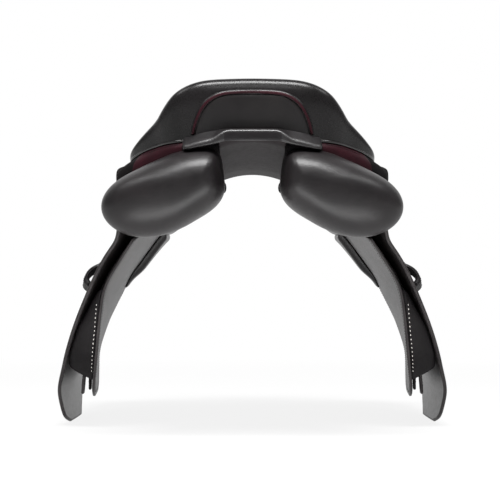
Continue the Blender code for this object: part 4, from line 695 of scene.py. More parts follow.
def makeBridge():
    # Sections across x: front edge on the cantle, slope down to the ridge, upright rear face, bottom
    end, cap = bridge["end"], bridge["cap"]
    x = np.linspace(-1, 1, bridge["count"]) * end
    x[:7], x[-7:] = -end + np.linspace(0, cap, 7), end - np.linspace(cap, 0, 7)
    size = np.abs(x)
    top, ridge, low = (blur(column(bridge["heights"], np.minimum(size, 0.084), k), 5) for k in (1, 2, 3))
    rear = (bridge["rear"] + bridge["turn"] * (size / end) ** 4
            + bridge["step"] * (1 - step01(*bridge["stepEnds"], size)))

    def front(z):
        y = cast(seatSkin, fromRear(x, z), (0, 1, 0))[0][:, 1]
        return blur(np.where(np.isnan(y), bridge["missed"], y), 4) - bridge["sunk"]

    topY, lowY = front(top), front(np.maximum(low, bridge["backLow"])) + bridge["underStep"]
    lowY = np.minimum(lowY, bridge["underMost"])
    pairs = ((topY, top), (rear, ridge), (rear, low), (lowY, low))
    corners = np.stack([np.stack(pair, 1) for pair in pairs], axis=1)
    lengthOf = lambda line: np.linalg.norm(line, axis=1)
    radius, loop = bridge["round"], []
    for k in range(4):
        # Each corner is rounded by a quadratic Bezier between points set back along its two sides
        before, here, after = corners[:, k - 1], corners[:, k], corners[:, (k + 1) % 4]
        shorter = np.minimum(lengthOf(before - here), lengthOf(after - here))
        back = np.minimum(radius[k], 0.45 * shorter)[:, None]
        a, b = here + unit(before - here) * back, here + unit(after - here) * back
        loop += [a * (1 - t) ** 2 + 2 * here * t * (1 - t) + b * t * t for t in np.linspace(0, 1, 6)]
        back = np.minimum(radius[(k + 1) % 4], 0.45 * lengthOf(after - here))[:, None]
        c = after + unit(here - after) * back
        loop += [b + (c - b) * t for t in (0.25, 0.5, 0.75)]
    loop = np.stack(loop, axis=1)
    depth, place, width = bridge["hollow"]
    loop[..., 0] -= depth * bell(np.linspace(0, 1, loop.shape[1]), place, width)
    shrink = np.sqrt(np.maximum(1 - np.clip((size - end + cap) / cap, 0, 1) ** 2, 0.0))[:, None, None]
    middle = loop.mean(axis=1, keepdims=True)
    loop = middle + (loop - middle) * (0.02 + 0.98 * shrink)
    rings = np.concatenate([np.broadcast_to(x[:, None, None], loop.shape[:2] + (1,)), loop], axis=2)
    around = np.arange(loop.shape[1])
    # Near the middle the upright face takes the darker, duller look: painted shade
    upright = (around >= bridge["dullFrom"]) & (around < bridge["dullTo"])
    dull = (np.abs(np.concatenate([x[:1], x])) < bridge["dull"])[:, None] & upright[None]
    newPiece("rearBridge", closedTube(rings, dull.ravel()), "bridge bridgeFace", "grained_leather",
             ["rear_bridge"], fill=0.8)
    line = grid3(x, rear + 0.0001, ridge - bridge["stitchDrop"])[size < bridge["stitchReach"]]
    rows = [(blur(line, 4), np.array([0, -1, 0.0]))]
    newPiece("bridgeStitches", stitches(rows), "thread", "grained_leather")


def makeRoof():
    # Lining of the channel: a height along y, less a camber with the square of x, turned up at its rear edge
    along, across = np.linspace(*bridge["roofEnds"], 120), np.linspace(-1, 1, 41) * bridge["half"]
    y, x = np.meshgrid(along, across, indexing="ij")
    z = column(bridge["roof"], y) - bridge["camber"] * (x / bridge["camberHalf"]) ** 2
    z += bridge["turnUp"] * np.clip((bridge["turnFrom"] - y) / bridge["turnLength"], 0, 1) ** 2
    newPiece("channelRoof", sheet(grid3(x, y, blur(z, 6)), bridge["roofWall"], (0, 0, -1)), "roof",
             "grained_leather", ["channel_lining"])


makeBridge()
makeRoof()
print("bridge and channel ready")

# Side layers: distance from the centre plane, tabled by height at three places along y

faces = {
    "stations": (-0.10, 0.05, 0.20),
    "flap": ((0, 0.2642, 0.2517, 0.2477), (0.01, 0.2683, 0.2558, 0.2518), (0.04, 0.2705, 0.258, 0.255),
             (0.085, 0.26, 0.2465, 0.249), (0.128, 0.2455, 0.232, 0.236), (0.17, 0.2275, 0.214, 0.215),
             (0.213, 0.2068, 0.1925, 0.192), (0.236, 0.1925, 0.178, 0.174), (0.254, 0.18, 0.166, 0.16),
             (0.29, 0.1765, 0.135, 0.121), (0.315, 0.176, 0.11, 0.099), (0.335, 0.173, 0.089, 0.08),
             (0.352, 0.161, 0.073, 0.066)),
    "sweat": ((0.03, 0.213, 0.2165, 0.2265), (0.08, 0.2055, 0.215, 0.226), (0.13, 0.2025, 0.2045, 0.2125),
              (0.155, 0.201, 0.196, 0.201), (0.18, 0.1985, 0.1865, 0.1885), (0.2, 0.191, 0.177, 0.179),
              (0.222, 0.177, 0.162, 0.1625), (0.25, 0.158, 0.1425, 0.14), (0.275, 0.141, 0.125, 0.116),
              (0.3, 0.122, 0.106, 0.095)),
    "flapWall": 0.0050, "sweatWall": 0.0040, "softGap": 0.0008,
}


flap = {
    # z, y of the edge
    "rear": ((0, 0.06), (0.0015, 0.034), (0.005, 0.013), (0.013, -0.002), (0.03, -0.018), (0.06, -0.042),
             (0.1, -0.063), (0.15, -0.078), (0.2, -0.088), (0.254, -0.099), (0.3, -0.107), (0.352, -0.103)),
    "front": ((0, 0.096), (0.0015, 0.12), (0.005, 0.141), (0.013, 0.16), (0.03, 0.188), (0.06, 0.222),
              (0.1, 0.25), (0.14, 0.263), (0.17, 0.265), (0.2, 0.261), (0.24, 0.247), (0.28, 0.226),
              (0.31, 0.205), (0.352, 0.178)),
    "sweatRear": ((0.038, 0.012), (0.042, -0.014), (0.052, -0.036), (0.07, -0.054), (0.1, -0.07),
                  (0.15, -0.078), (0.2, -0.08), (0.25, -0.088), (0.292, -0.088)),
    "sweatFront": ((0.038, 0.08), (0.042, 0.118), (0.052, 0.15), (0.07, 0.182), (0.1, 0.212), (0.15, 0.234),
                   (0.2, 0.234), (0.25, 0.222), (0.292, 0.204)),
    # y, z of the sweat flap's upper edge
    "sweatTop": ((-0.09, 0.251), (-0.05, 0.262), (-0.01, 0.278), (0.03, 0.289), (0.205, 0.29)),
    "sweatLow": 0.038, "margin": 0.008, "sweatMargin": 0.006, "hemGap": 0.0026,
    "bend": (0.1836, -0.0706, 0.2367, 0.040),      # x at y = 0 and its slope, z at y = 0 and its slope
    "bendY": 0.08, "down": (0.62, 0, -0.785), "reach": 0.012,     # place and way across it, half its width
}


def faceField(table, y, z):
    # Cubic through the heights, and a parabola through the three places along y
    table = np.asarray(table, float)
    y, z = np.broadcast_arrays(np.asarray(y, float), np.asarray(z, float))
    rear, middle, front = table[:, 1], table[:, 2], table[:, 3]
    first, second, _ = faces["stations"]
    t = ((y - second) / (second - first))[..., None]
    inside = np.clip(t, -1, 1)
    bow, lean = 0.5 * (front + rear - 2 * middle), 0.5 * (front - rear)
    tabled = middle + lean * inside + bow * inside ** 2 + (lean + 2 * bow * inside) * (t - inside)
    return follow(table[:, 0], tabled, z)


def flapFace(y, z):
    # Outer face of the flap
    return faceField(faces["flap"], y, z)


def sweatFace(y, z):
    # Inner face of the sweat flap
    return faceField(faces["sweat"], y, z)


def slanted(field, y, z, wall):
    # A wall's thickness measured along x: wall times the square root of 1 plus both slopes squared
    s = 0.001
    byY, byZ = (field(y + s, z) - field(y - s, z)) / (2 * s), (field(y, z + s) - field(y, z - s)) / (2 * s)
    return wall * np.sqrt(1 + byY ** 2 + byZ ** 2)


def flapInner(y, z):
    # One wall inside the flap's outer face
    return flapFace(y, z) - slanted(flapFace, y, z, faces["flapWall"])


def sweatOuter(y, z):
    # One wall outside the sweat flap's inner face
    return sweatFace(y, z) + slanted(sweatFace, y, z, faces["sweatWall"])


def layerGrid(rear, front, low, high, n, m, bunch=0.0):
    # Rows from the low edge to the high one, columns from the rear edge to the front one. An edge is
    # a number, a table or a formula
    def at(edge, where):
        return edge(where) if callable(edge) else column(edge, where) if np.ndim(edge) else edge

    h = np.linspace(0, 1, n)
    h = (1 - bunch) * h + bunch * (1 - np.cos(0.5 * np.pi * h))
    level, a = np.meshgrid(h, np.linspace(0, 1, m), indexing="ij")
    y, z = np.zeros_like(level), np.zeros_like(level)
    for _ in range(8):
        y = at(rear, z) + (at(front, z) - at(rear, z)) * a
        z = at(low, y) + (at(high, y) - at(low, y)) * level
    return y, z


def hemZ(y):
    # Height of the seat's hem over y, from its points beside the flap
    table = np.array(seat["hem"])[6:16]
    return follow(table[:, 1], table[:, 2], y)


# Panels

panel = {
    # y, four points of the middle line (x, z), half depth
    "stations": ((-0.215, 0.0341, 0.323, 0.08, 0.317, 0.13, 0.2986, 0.1896, 0.2862, 0.0494),
                 (-0.15, 0.036, 0.323, 0.08, 0.316, 0.126, 0.3026, 0.1794, 0.2876, 0.043),
                 (-0.08, 0.039, 0.322, 0.076, 0.313, 0.114, 0.3005, 0.158, 0.284, 0.029),
                 (0, 0.0415, 0.321, 0.071, 0.308, 0.101, 0.29, 0.132, 0.265, 0.018),
                 (0.08, 0.044, 0.323, 0.07, 0.309, 0.099, 0.2885, 0.128, 0.261, 0.013),
                 (0.15, 0.047, 0.323, 0.071, 0.3085, 0.099, 0.288, 0.126, 0.26, 0.011),
                 (0.215, 0.052, 0.3178, 0.076, 0.3036, 0.102, 0.285, 0.1245, 0.2615, 0.0086)),
    "rear": -0.265, "rearRound": 0.058, "front": 0.236, "frontRound": 0.020,
    "square": (6.5, 2.2, 2.0), "around": 144,      # power of the section above and below inside, and outside
    "flatTop": (0.62, 0.11), "flatBelow": (0.30, 0.08), "flatWidth": 0.42,    # place along the section, share
    "pole": (-0.042, 0.016),                       # how far the end's pole lies from the section's middle
    "shrink": 0.0030, "voxel": 0.0050, "pressure": 2.0, "stiffness": 40.0, "mass": 0.3, "frames": 12,
    "swell": (-0.0014, 0.0045),                    # most that the cloth may draw in and swell
    "calm": (0.180, 0.212),                        # from where to where the swell dies out, before the dee
    "gap": 0.0040, "above": 0.012,                 # room left to the sweat flap, and how far above it
    "pressed": (-0.125, -0.105),                   # from where to where the pressing sets in
    "rootGap": (0.0015, 0.0024, 0.0068),           # room left to the flap's root, and under the head arch
    "archY": 0.186, "archLength": 0.022, "endPower": (2.3, 2.6),
}


def panelStations():
    # The two ends close along a quarter turn each, with stations close together
    table = np.array(panel["stations"])
    turnRear, turnFront = np.radians(np.linspace(89.5, 6, 34)), np.radians(np.linspace(6, 89.5, 16))
    rearY = panel["rear"] + panel["rearRound"] * (1 - np.sin(turnRear))
    frontY = panel["front"] - panel["frontRound"] * (1 - np.sin(turnFront))
    middleY = np.linspace(rearY[-1], frontY[0], 100)[1:-1]
    y = np.concatenate([rearY, middleY, frontY])
    byRear, byFront = (2 / power for power in panel["endPower"])
    shrink = np.concatenate([np.cos(turnRear) ** byRear, np.ones(len(middleY)), np.cos(turnFront) ** byFront])
    return y, blur(curve(table[:, 1:], y, table[:, 0]), 10), shrink


def panelRings():
    # A squared ellipse round a curved middle line: blunt beside the channel, round outside
    y, values, shrink = panelStations()
    count = panel["around"]
    angle = np.linspace(0, 2 * np.pi, count, endpoint=False) + np.pi / count
    c, s = np.cos(angle), np.sin(angle)
    above, below, outside = (2 / value for value in panel["square"])
    power = np.where(c > 0, outside, np.where(s > 0, above, below))
    along = 0.5 * (1 + np.sign(c) * np.abs(c) ** power)
    lift = np.sign(s) * np.abs(s) ** power
    place, share = np.where(s > 0, np.array(panel["flatTop"])[:, None], np.array(panel["flatBelow"])[:, None])
    lift *= 1 - share * bell(along, place, panel["flatWidth"])
    rings = np.zeros((len(y), count, 3))
    for i, (place, value, k) in enumerate(zip(y, values, shrink)):
        line = blur(smoothPath(value[:8].reshape(4, 2), 81), 40)
        run = unit(np.gradient(line, axis=0))
        where = np.linspace(0, 1, 81)
        spot, tangent = (np.stack([np.interp(along, where, table[:, a]) for a in (0, 1)], axis=-1)
                         for table in (line, run))
        tangent = unit(tangent)
        section = spot + np.stack([-tangent[:, 1], tangent[:, 0]], axis=1) * (lift * value[8])[:, None]
        centre = section.mean(axis=0) + np.array(panel["pole"]) * (place < 0)
        section = centre + (section - centre) * k
        rings[i] = grid3(section[:, 0], np.full(count, place), section[:, 1])
    return rings


def pressed(rings):
    # Flattened where the panel lies against the sweat flap, the flap's root and the head arch
    x, y, z = rings[..., 0], rings[..., 1], rings[..., 2]
    beside = step01(*panel["pressed"], y)
    high = column(flap["sweatTop"], y) + panel["above"]
    arch = np.clip(2.1 - np.abs(y - panel["archY"]) / panel["archLength"], 0, 1)
    room, least, most = panel["rootGap"]
    root = flapInner(y, z) - slanted(flapFace, y, z, 1.0) * (room + np.maximum(least, arch * most))
    limit = np.where(z < high, np.minimum(sweatFace(y, z) - panel["gap"], root), root)
    rings = rings.copy()
    rings[..., 0] = np.where(x > limit, x + (limit - x) * beside, x)
    return rings


def stuffed(rings):
    # The bag is remeshed a little small and blown up as cloth; how much more than its seams each place
    # swells, measured outwards from the section's middle, is added to the rings
    away = unit(rings - rings.mean(axis=1, keepdims=True))
    bag = newPiece("panelBag", closedTube(rings - away * panel["shrink"]), "", body=None)
    remesh = bag.modifiers.new("remesh", "REMESH")
    remesh.mode, remesh.voxel_size = "VOXEL", panel["voxel"]
    cloth = bag.modifiers.new("cloth", "CLOTH")
    cloth.settings.use_pressure = True
    cloth.settings.uniform_pressure_force = panel["pressure"]
    cloth.settings.effector_weights.gravity = 0
    cloth.settings.mass = panel["mass"]
    cloth.settings.tension_stiffness = cloth.settings.compression_stiffness = panel["stiffness"]
    cloth.point_cache.frame_start, cloth.point_cache.frame_end = 1, panel["frames"]

    def corners():
        mesh = bag.evaluated_get(bpy.context.evaluated_depsgraph_get()).to_mesh()
        values = np.empty(len(mesh.vertices) * 3, dtype=np.float32)
        mesh.vertices.foreach_get("co", values)
        return values.reshape(-1, 3).astype(float)

    bpy.context.scene.frame_set(1)
    before = corners()
    for number in range(2, panel["frames"] + 1):
        bpy.context.scene.frame_set(number)
    after = corners()
    bpy.context.scene.frame_set(1)
    bpy.data.objects.remove(bag, do_unlink=True)
    # The free bag also drifts and turns; the rigid motion that fits best is taken out
    still, moved = before - before.mean(axis=0), after - after.mean(axis=0)
    left, _, right = np.linalg.svd(moved.T @ still)
    change = moved @ (left @ right) - still
    tree = KDTree(len(before))
    for number, point in enumerate(before):
        tree.insert(point, number)
    tree.balance()
    near = [tree.find(point)[1] for point in rings.reshape(-1, 3)]
    swell = (change[near].reshape(rings.shape) * away).sum(axis=-1)
    print("cloth swell in mm", np.round(np.percentile(swell, (5, 50, 95)) * 1000, 2))
    swell = np.clip(swell - np.percentile(swell, 45), *panel["swell"])
    for _ in range(8):
        swell = 0.5 * swell + 0.25 * (np.roll(swell, 1, axis=1) + np.roll(swell, -1, axis=1))
        swell[1:-1] = 0.25 * swell[:-2] + 0.5 * swell[1:-1] + 0.25 * swell[2:]
    swell *= 1 - step01(*panel["calm"], rings[..., 1])
    return rings + away * swell[..., None]


def makePanels():
    # The rings are pressed, stuffed and pressed again, and close to a point at both ends
    rings = pressed(panelRings())
    rings = pressed(stuffed(rings))
    return newPair("panel_*Skin", closedTube(rings), "panel", "flocking", ["panel_*"], fill=0.75)


panels = makePanels()
print("panels ready")

band = {
    "from": 0.72, "to": 6.9, "count": 130, "wall": 0.0030, "welt": 0.0022, "weltFrom": 1.9,    # hem points
    "red": (1.98, 4.95),                           # between these hem points the band is red; beyond them it takes the near-black look painted for shade
    # hem point, how far the foot stands out from the hem
    "foot": ((0, 0.0030), (3.2, 0.0040), (4.2, 0.0070), (5, 0.0130), (6, 0.0200), (6.9, 0.0120)),
    "sunk": 0.0006, "tall": 0.026, "short": 0.0025, "margin": 4,
    "bow": (0.0012, 0.14, 7),                      # least height, and its growth with the foot's reach
}


def makeBands():
    # The band hangs from under the seat's hem to the top of the panel; a welt closes the hem
    where = np.linspace(band["from"], band["to"], band["count"])
    hem = blur(curve(seat["hem"], where), 6)
    run = unit(np.gradient(hem[:, :2], axis=0))
    outward = grid3(run[:, 1], -run[:, 0], np.zeros(len(run)))
    outward[0] = (0, -1, 0)
    top = hem - outward * 0.0002 - [0, 0, 2 * band["welt"] + 0.0002]
    reach = column(band["foot"], where)[:, None]
    foot = top + outward * reach
    hit = cast(panels["right"], foot * [1, 1, 0] + [0, 0, 0.5], (0, 0, -1))[0][:, 2]
    foot[:, 2] = np.where(np.isnan(hit), foot[:, 2] - 0.010, hit)
    foot[:, 2] = np.clip(foot[:, 2] - band["sunk"], top[:, 2] - band["tall"], top[:, 2] - band["short"])
    foot = blur(foot, 8)
    share = np.linspace(0, 1, 13)[None, :, None]
    least, slope, growth = band["bow"]
    height = least + (slope + growth * reach[:, None]) * reach[:, None]
    bow = np.sin(np.linspace(0, np.pi, 13))[None, :, None] * height
    grid = top[:, None] * (1 - share) + foot[:, None] * share + bow * unit(outward + [0, 0, 0.35])[:, None]
    first, last = (int(np.searchsorted(where, value)) for value in band["red"])
    # Beyond its red part the band takes the gusset look, painted near black for the shade under the seat's
    # edge
    for name, part, look, slotName, nodes in (
            ("rearGusset_*", grid[:first + 1], "gusset", "seat_leather", ()),
            ("panelBand_*", grid[first:last + 1], "red", "red_leather", ["panel_band_*"]),
            ("sideGusset_*", grid[last:], "gusset", "seat_leather", ())):
        newPair(name, sheet(part, band["wall"], (0.7, -0.7, 0)), look, slotName, nodes)
    seen = where > band["weltFrom"]
    welt = tube((hem - outward * 0.0008 - [0, 0, band["welt"]])[seen], unit(outward + [0, 0, 0.6])[seen],
                roundProfile(band["welt"]))
    newPair("seatWelt_*", welt, "welt", "seat_leather", ["seat_welt_*"])
    red = slice(first + band["margin"], last - band["margin"])
    row = grid[red, 2] + outward[red] * 0.0001
    newPair("bandStitches_*", stitches([(row, outward[red])]), "thread", "red_leather")


makeBands()
print("bands ready")

# Flaps


def edgeRows(outer, normal, inset):
    # A line that runs beside the rear, lower and front edges of a layer, a set distance inside them
    n, m = outer.shape[:2]
    uv = flatUv(outer).reshape(n, m, 2)
    share = inset / np.maximum(uv[:, -1, 0], 1e-6)
    down = int(np.searchsorted(uv[:, m // 2, 1], inset))
    rear, front = (np.clip(s * (m - 1), 0, m - 1) for s in (share, 1 - share))
    under = np.arange(int(rear[down]) + 1, int(front[down]))
    r = np.concatenate([np.arange(n - 1, down, -1), np.full(len(under), down), np.arange(down, n)])
    c = np.concatenate([rear[:down:-1], under, front[down:]])
    low = np.floor(c).astype(int).clip(0, m - 2)
    t = (c - low)[:, None]
    path, up = (grid[r, low] * (1 - t) + grid[r, low + 1] * t for grid in (outer, normal))
    return blur(path, 3), unit(up)


def makeFlaps():
    # One sheet from the hem to the tip; the ends of a band across the bend are worked out for each side, but
    # nothing turns the flap about them
    half = 0.5 * faces["flapWall"]
    y, z = layerGrid(lambda z: column(flap["rear"], z) + half, lambda z: column(flap["front"], z) - half,
                     half, lambda y: hemZ(y) - flap["hemGap"], 130, 96, 0.35)
    outer = softened(grid3(flapFace(y, z), y, z), 6)
    skins = newPair("flap_*Skin", sheet(outer, faces["flapWall"], (1, 0, 0)), "flap flapBack edge",
                    "flap_leather", ["flap_*", "flap_root_*"], None)
    rows = [edgeRows(outer, gridNormals(outer, (1, 0, 0)), flap["margin"])]
    threads = newPair("flapStitches_*", stitches(rows), "thread", "flap_leather", body=None)
    (x0, xs, z0, zs), place = flap["bend"], flap["bendY"]
    bend, reach = np.array([x0 + xs * place, place, z0 + zs * place]), np.array(flap["down"]) * flap["reach"]
    for word, side in sides.items():
        start, end = (tuple(point * [side, 1, 1]) for point in (bend - reach, bend + reach))
        for piece in (skins[word], threads[word]):
            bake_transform(piece)
            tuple(start)
            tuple(end)


def makeSweatFlaps():
    # One sheet, with a row of stitches near the edge on both of its faces
    half = 0.5 * faces["sweatWall"]
    y, z = layerGrid(lambda z: column(flap["sweatRear"], z) + half,
                     lambda z: column(flap["sweatFront"], z) - half,
                     flap["sweatLow"] + half, lambda y: column(flap["sweatTop"], y) - half, 110, 84, 0.3)
    inner = softened(grid3(sweatFace(y, z), y, z), 4)
    line, up = edgeRows(inner, gridNormals(inner, (-1, 0, 0)), flap["sweatMargin"])
    newPair("sweatFlap_*", sheet(inner, faces["sweatWall"], (-1, 0, 0)), "under flap edge", "sweat_leather",
            ["sweat_flap_*"])
    rows = [(line, up), (line - up * (faces["sweatWall"] + 0.0001), -up)]
    newPair("sweatStitches_*", stitches(rows), "thread", "sweat_leather")


makeFlaps()
makeSweatFlaps()
print("flaps ready")

# Pads on both faces of the sweat flap

pads = {
    # z, y of the front pad's edges
    "rear": ((0.184, 0.138), (0.2, 0.133), (0.252, 0.128), (0.272, 0.127)),
    "front": ((0.184, 0.205), (0.2, 0.22), (0.23, 0.224), (0.272, 0.213)),
    "low": 0.184, "high": 0.264, "depth": 0.0094, "round": 0.008, "taper": 0.034,
    # z, y of the knee block's edges; z, depth
    "kneeRear": ((0.11, 0.166), (0.15, 0.174), (0.2, 0.176), (0.24, 0.172)),
    "kneeFront": ((0.11, 0.203), (0.15, 0.222), (0.2, 0.224), (0.24, 0.212)),
    "kneeDepth": ((0.11, 0.009), (0.15, 0.011), (0.2, 0.009), (0.24, 0.004)),
    "kneeLow": 0.11, "kneeHigh": 0.24, "kneeRound": 0.012, "kneeLift": 0.0004,
    # y, z of the thigh block's lower edge; z, depth
    "thighLow": ((-0.074, 0.069), (-0.055, 0.064), (-0.031, 0.064)),
    "thighDepth": ((0.06, 0.032), (0.085, 0.0345), (0.11, 0.0345), (0.15, 0.019), (0.186, 0.005)),
    "thighRear": 0.002, "thighFront": -0.031, "thighTop": 0.186, "thighRound": 0.0065,
    "slant": 0.0150, "slantRound": 0.007,
    "thin": 0.72, "flapGap": 0.0022, "lift": 0.0005,
    # z, x of the pale stitches up the thigh block's rear face, 5.8 mm apart as in the photo
    "stitches": ((0.0733, 0.215), (0.1038, 0.2125), (0.137, 0.2088), (0.1729, 0.206)),
    "stitchEnds": (0.0740, 0.1720), "pitch": 0.0058, "stitch": 0.0020, "thick": 0.00050,
}


def edgeDistance(grid):
    # Distance of each grid point from the nearest of the grid's four borders, along its rows and columns
    n, m = grid.shape[:2]
    uv = flatUv(grid).reshape(n, m, 2)
    return np.minimum(np.minimum(uv[..., 0], uv[:, -1:, 0] - uv[..., 0]),
                      np.minimum(uv[..., 1], uv[-1:, :, 1] - uv[..., 1]))


def padGrid(*edges):
    # A layer's grid with its rows and columns moved towards its borders, where a pad turns down
    y, z = layerGrid(*edges)
    i, j = ((0.5 - 0.5 * np.cos(np.linspace(0, np.pi, count))) * (count - 1) for count in y.shape)
    lowI, lowJ = (np.floor(v).astype(int).clip(0, count - 2) for v, count in zip((i, j), y.shape))
    ti, tj = (i - lowI)[:, None], (j - lowJ)[None, :]

    def pick(values):
        a, b, c, d = (values[np.ix_(lowI + p, lowJ + q)] for q in (0, 1) for p in (0, 1))
        return (a * (1 - ti) + b * ti) * (1 - tj) + (c * (1 - ti) + d * ti) * tj

    return pick(y), pick(z)


def makePads():
    # Front pad and knee block: a depth times a quarter circle from their edges inwards
    y, z = padGrid(pads["rear"], pads["front"], pads["low"], pads["high"], 60, 60)
    base = grid3(sweatFace(y, z) - faces["softGap"], y, z)
    taper = 0.25 + 0.75 * step01(pads["low"], pads["low"] + pads["taper"], z)
    height = pads["depth"] * taper * rise(edgeDistance(base), pads["round"])
    newPair("panelFront_*", pad(base, gridNormals(base, (-1, 0, 0)), height), "panel", "flocking",
            ["panel_front_*"], fill=0.7)

    y, z = padGrid(pads["kneeRear"], pads["kneeFront"], pads["kneeLow"], pads["kneeHigh"], 60, 44)
    base = grid3(sweatOuter(y, z) + pads["kneeLift"], y, z)
    height = column(pads["kneeDepth"], z) * rise(edgeDistance(base), pads["kneeRound"])
    newPair("kneeBlock_*", pad(base, gridNormals(base, (1, 0, 0)), height), "block", "grained_leather",
            ["knee_block_*"], fill=0.85)

    # The thigh block leans upwards as it rises off the sweat flap, and thins out forwards
    y, z = padGrid(lambda z: column(flap["sweatRear"], z) + pads["thighRear"], pads["thighFront"],
                   pads["thighLow"], pads["thighTop"], 90, 60)
    level = (z - z.min(axis=0)) / (z.max(axis=0) - z.min(axis=0))
    across = (y - y[:, :1]) / (y[:, -1:] - y[:, :1])
    base = grid3(sweatOuter(y, z) + pads["lift"], y, z)
    near = edgeDistance(base)
    topZ = z + pads["slant"] * (1 - level) ** 1.5 * rise(near, pads["slantRound"])
    depth = column(pads["thighDepth"], topZ) * (1 - pads["thin"] * across ** 2)
    depth = np.minimum(depth, flapInner(y, topZ) - pads["flapGap"] - sweatOuter(y, topZ))
    x = sweatOuter(y, topZ) + pads["lift"] + depth * rise(near, pads["thighRound"])
    top = softened(grid3(x, y, topZ), 1)
    top[0], top[-1], top[:, 0], top[:, -1] = base[0], base[-1], base[:, 0], base[:, -1]
    blocks = newPair("thighBlock_*", twoSheets(top, base), "block", "grained_leather", ["thigh_block_*"],
                     fill=0.9)
    z = np.linspace(*pads["stitchEnds"], 120)
    x = np.interp(z, *np.array(pads["stitches"]).T)
    for word, side in sides.items():
        line, up = cast(blocks[word], fromRear(side * x, z, -0.2), (0, 1, 0))
        met = ~np.isnan(line[:, 0])
        rows = [(blur(line[met], 6), unit(blur(up[met], 6)))]
        newPiece(f"thighStitches_{word}", stitches(rows, pads["pitch"], pads["stitch"], pads["thick"]),
                 "whiteThread", "grained_leather")


makePads()
print("pads ready")

skirt = {
    "ends": (0.008, 0.187),
    # y, z of the lower edge
    "low": ((0.008, 0.315), (0.02, 0.293), (0.045, 0.266), (0.08, 0.249), (0.115, 0.249), (0.15, 0.264),
            (0.175, 0.289), (0.187, 0.315)),
    "drop": 0.0042, "sag": 0.0034, "gap": 0.0026, "wall": 0.0040, "margin": 0.0055,
    "overBar": 0.0201, "barY": 0.088, "barHalf": 0.098, "barLow": 0.252, "barRise": 0.032, "barHigh": 0.335,
    "barFall": 0.029,
    "welt": 0.0015, "weltInset": (0.020, 0.036), "weltUp": 0.0025, "weltGap": 0.0011,
}


def seamDrop(y):
    # The skirt's seam lies below the hem by a drop, and by a parabola that is 0 at both ends
    middle, half = 0.5 * sum(skirt["ends"]), 0.5 * (skirt["ends"][1] - skirt["ends"][0])
    return skirt["drop"] + skirt["sag"] * np.clip(1 - ((y - middle) / half) ** 2, 0, 1)


def skirtInner(y, z):
    # The flap's face, plus a swell that clears the stirrup bar in the middle and dies out at the edges
    along = np.clip(1 - ((y - skirt["barY"]) / skirt["barHalf"]) ** 4, 0, 1)
    up = np.clip((z - skirt["barLow"]) / skirt["barRise"], 0, 1)
    down = np.clip((skirt["barHigh"] - z) / skirt["barFall"], 0, 1)
    stand = faces["softGap"] + (skirt["overBar"] * along * up * up * (3 - 2 * up)
                                * down * down * (3 - 2 * down))
    return flapFace(y, z) + slanted(flapFace, y, z, 1.0) * stand


def makeSkirts():
    # One sheet from the seam down to a curved edge, and a welt over the seam
    half, (first, last) = 0.5 * skirt["wall"], skirt["ends"]
    y, z = layerGrid(first + half, last - half, lambda y: column(skirt["low"], y) + half,
                     lambda y: hemZ(y) - seamDrop(y) - skirt["gap"], 60, 70)
    inner = softened(grid3(skirtInner(y, z), y, z), 3)
    normal = gridNormals(inner, (1, 0, 0))
    wall = np.full(y.shape, skirt["wall"])
    wall[-6:] *= np.linspace(1, 0.4, 6)[:, None]   # pared thin where it is sewn on
    outer = inner + normal * wall[..., None]
    newPair("skirt_*Skin", sheet(outer, inner=inner), "flap under edge", "flap_leather", ["skirt_*"],
            "skirt_*")
    newPair("skirtStitches_*", stitches([edgeRows(outer, normal, skirt["margin"])]), "thread", "flap_leather",
            body="skirt_*")
    y = np.linspace(first + skirt["weltInset"][0], last - skirt["weltInset"][1], 60)
    z = hemZ(y) - seamDrop(y) + skirt["weltUp"]
    path = grid3(flapFace(y, z) + slanted(flapFace, y, z, skirt["welt"] + skirt["weltGap"]), y, z)
    newPair("skirtWelt_*", tube(blur(path, 4), np.array([0.7, 0, 0.7]), roundProfile(skirt["welt"])), "seat",
            "seat_leather", ["skirt_welt_*"])


makeSkirts()
print("skirts ready")

strap = {
    "middle": 0.022, "spacing": 0.075, "top": 0.257, "bottom": 0.0435, "width": 0.025, "wall": 0.0040,
    "tip": 0.014, "edge": 0.0018, "columns": 13,
    # z, how far the strap hangs off the sweat flap
    "hang": ((0.0435, 0.0108), (0.09, 0.0095), (0.15, 0.0045), (0.2, 0.001), (0.257, 0.0008)),
    "hole": 0.0022, "holeEdge": 0.0005, "holeStep": 0.0190, "holeLow": 0.026, "holeHigh": 0.012,
    "guard": (0.168, 0.238), "guardHalf": 0.061, "guardWall": 0.0025, "guardMargin": 0.005,
    "guardGap": 0.0010, "guardClear": 0.0006,      # to the straps under it, to the flap over it
    "web": (0.2584, 0.3255), "webHalf": 0.051, "webWall": 0.0013, "webGap": 0.0010,
}


def strapFace(y, z):
    # The sweat flap's outer face, plus how far the strap hangs off it, less towards the front
    forward = np.clip((y - strap["middle"]) / strap["spacing"] + 0.5, 0, 1)
    return sweatOuter(y, z) + np.maximum(column(strap["hang"], z) * (1 - 0.6 * forward), faces["softGap"])


def strapInner(z, half, place):
    # A flat section carried down the strap, turned as the sweat flap turns under it
    y = place + half[:, None] * np.linspace(-1, 1, strap["columns"])[None]
    level = np.broadcast_to(z[:, None], y.shape)
    flat = np.full_like(y, place)
    twist = (sweatOuter(flat + 0.002, level) - sweatOuter(flat - 0.002, level)) / 0.004
    return softened(grid3(strapFace(flat, level) + twist * (y - place), y, level), 1)


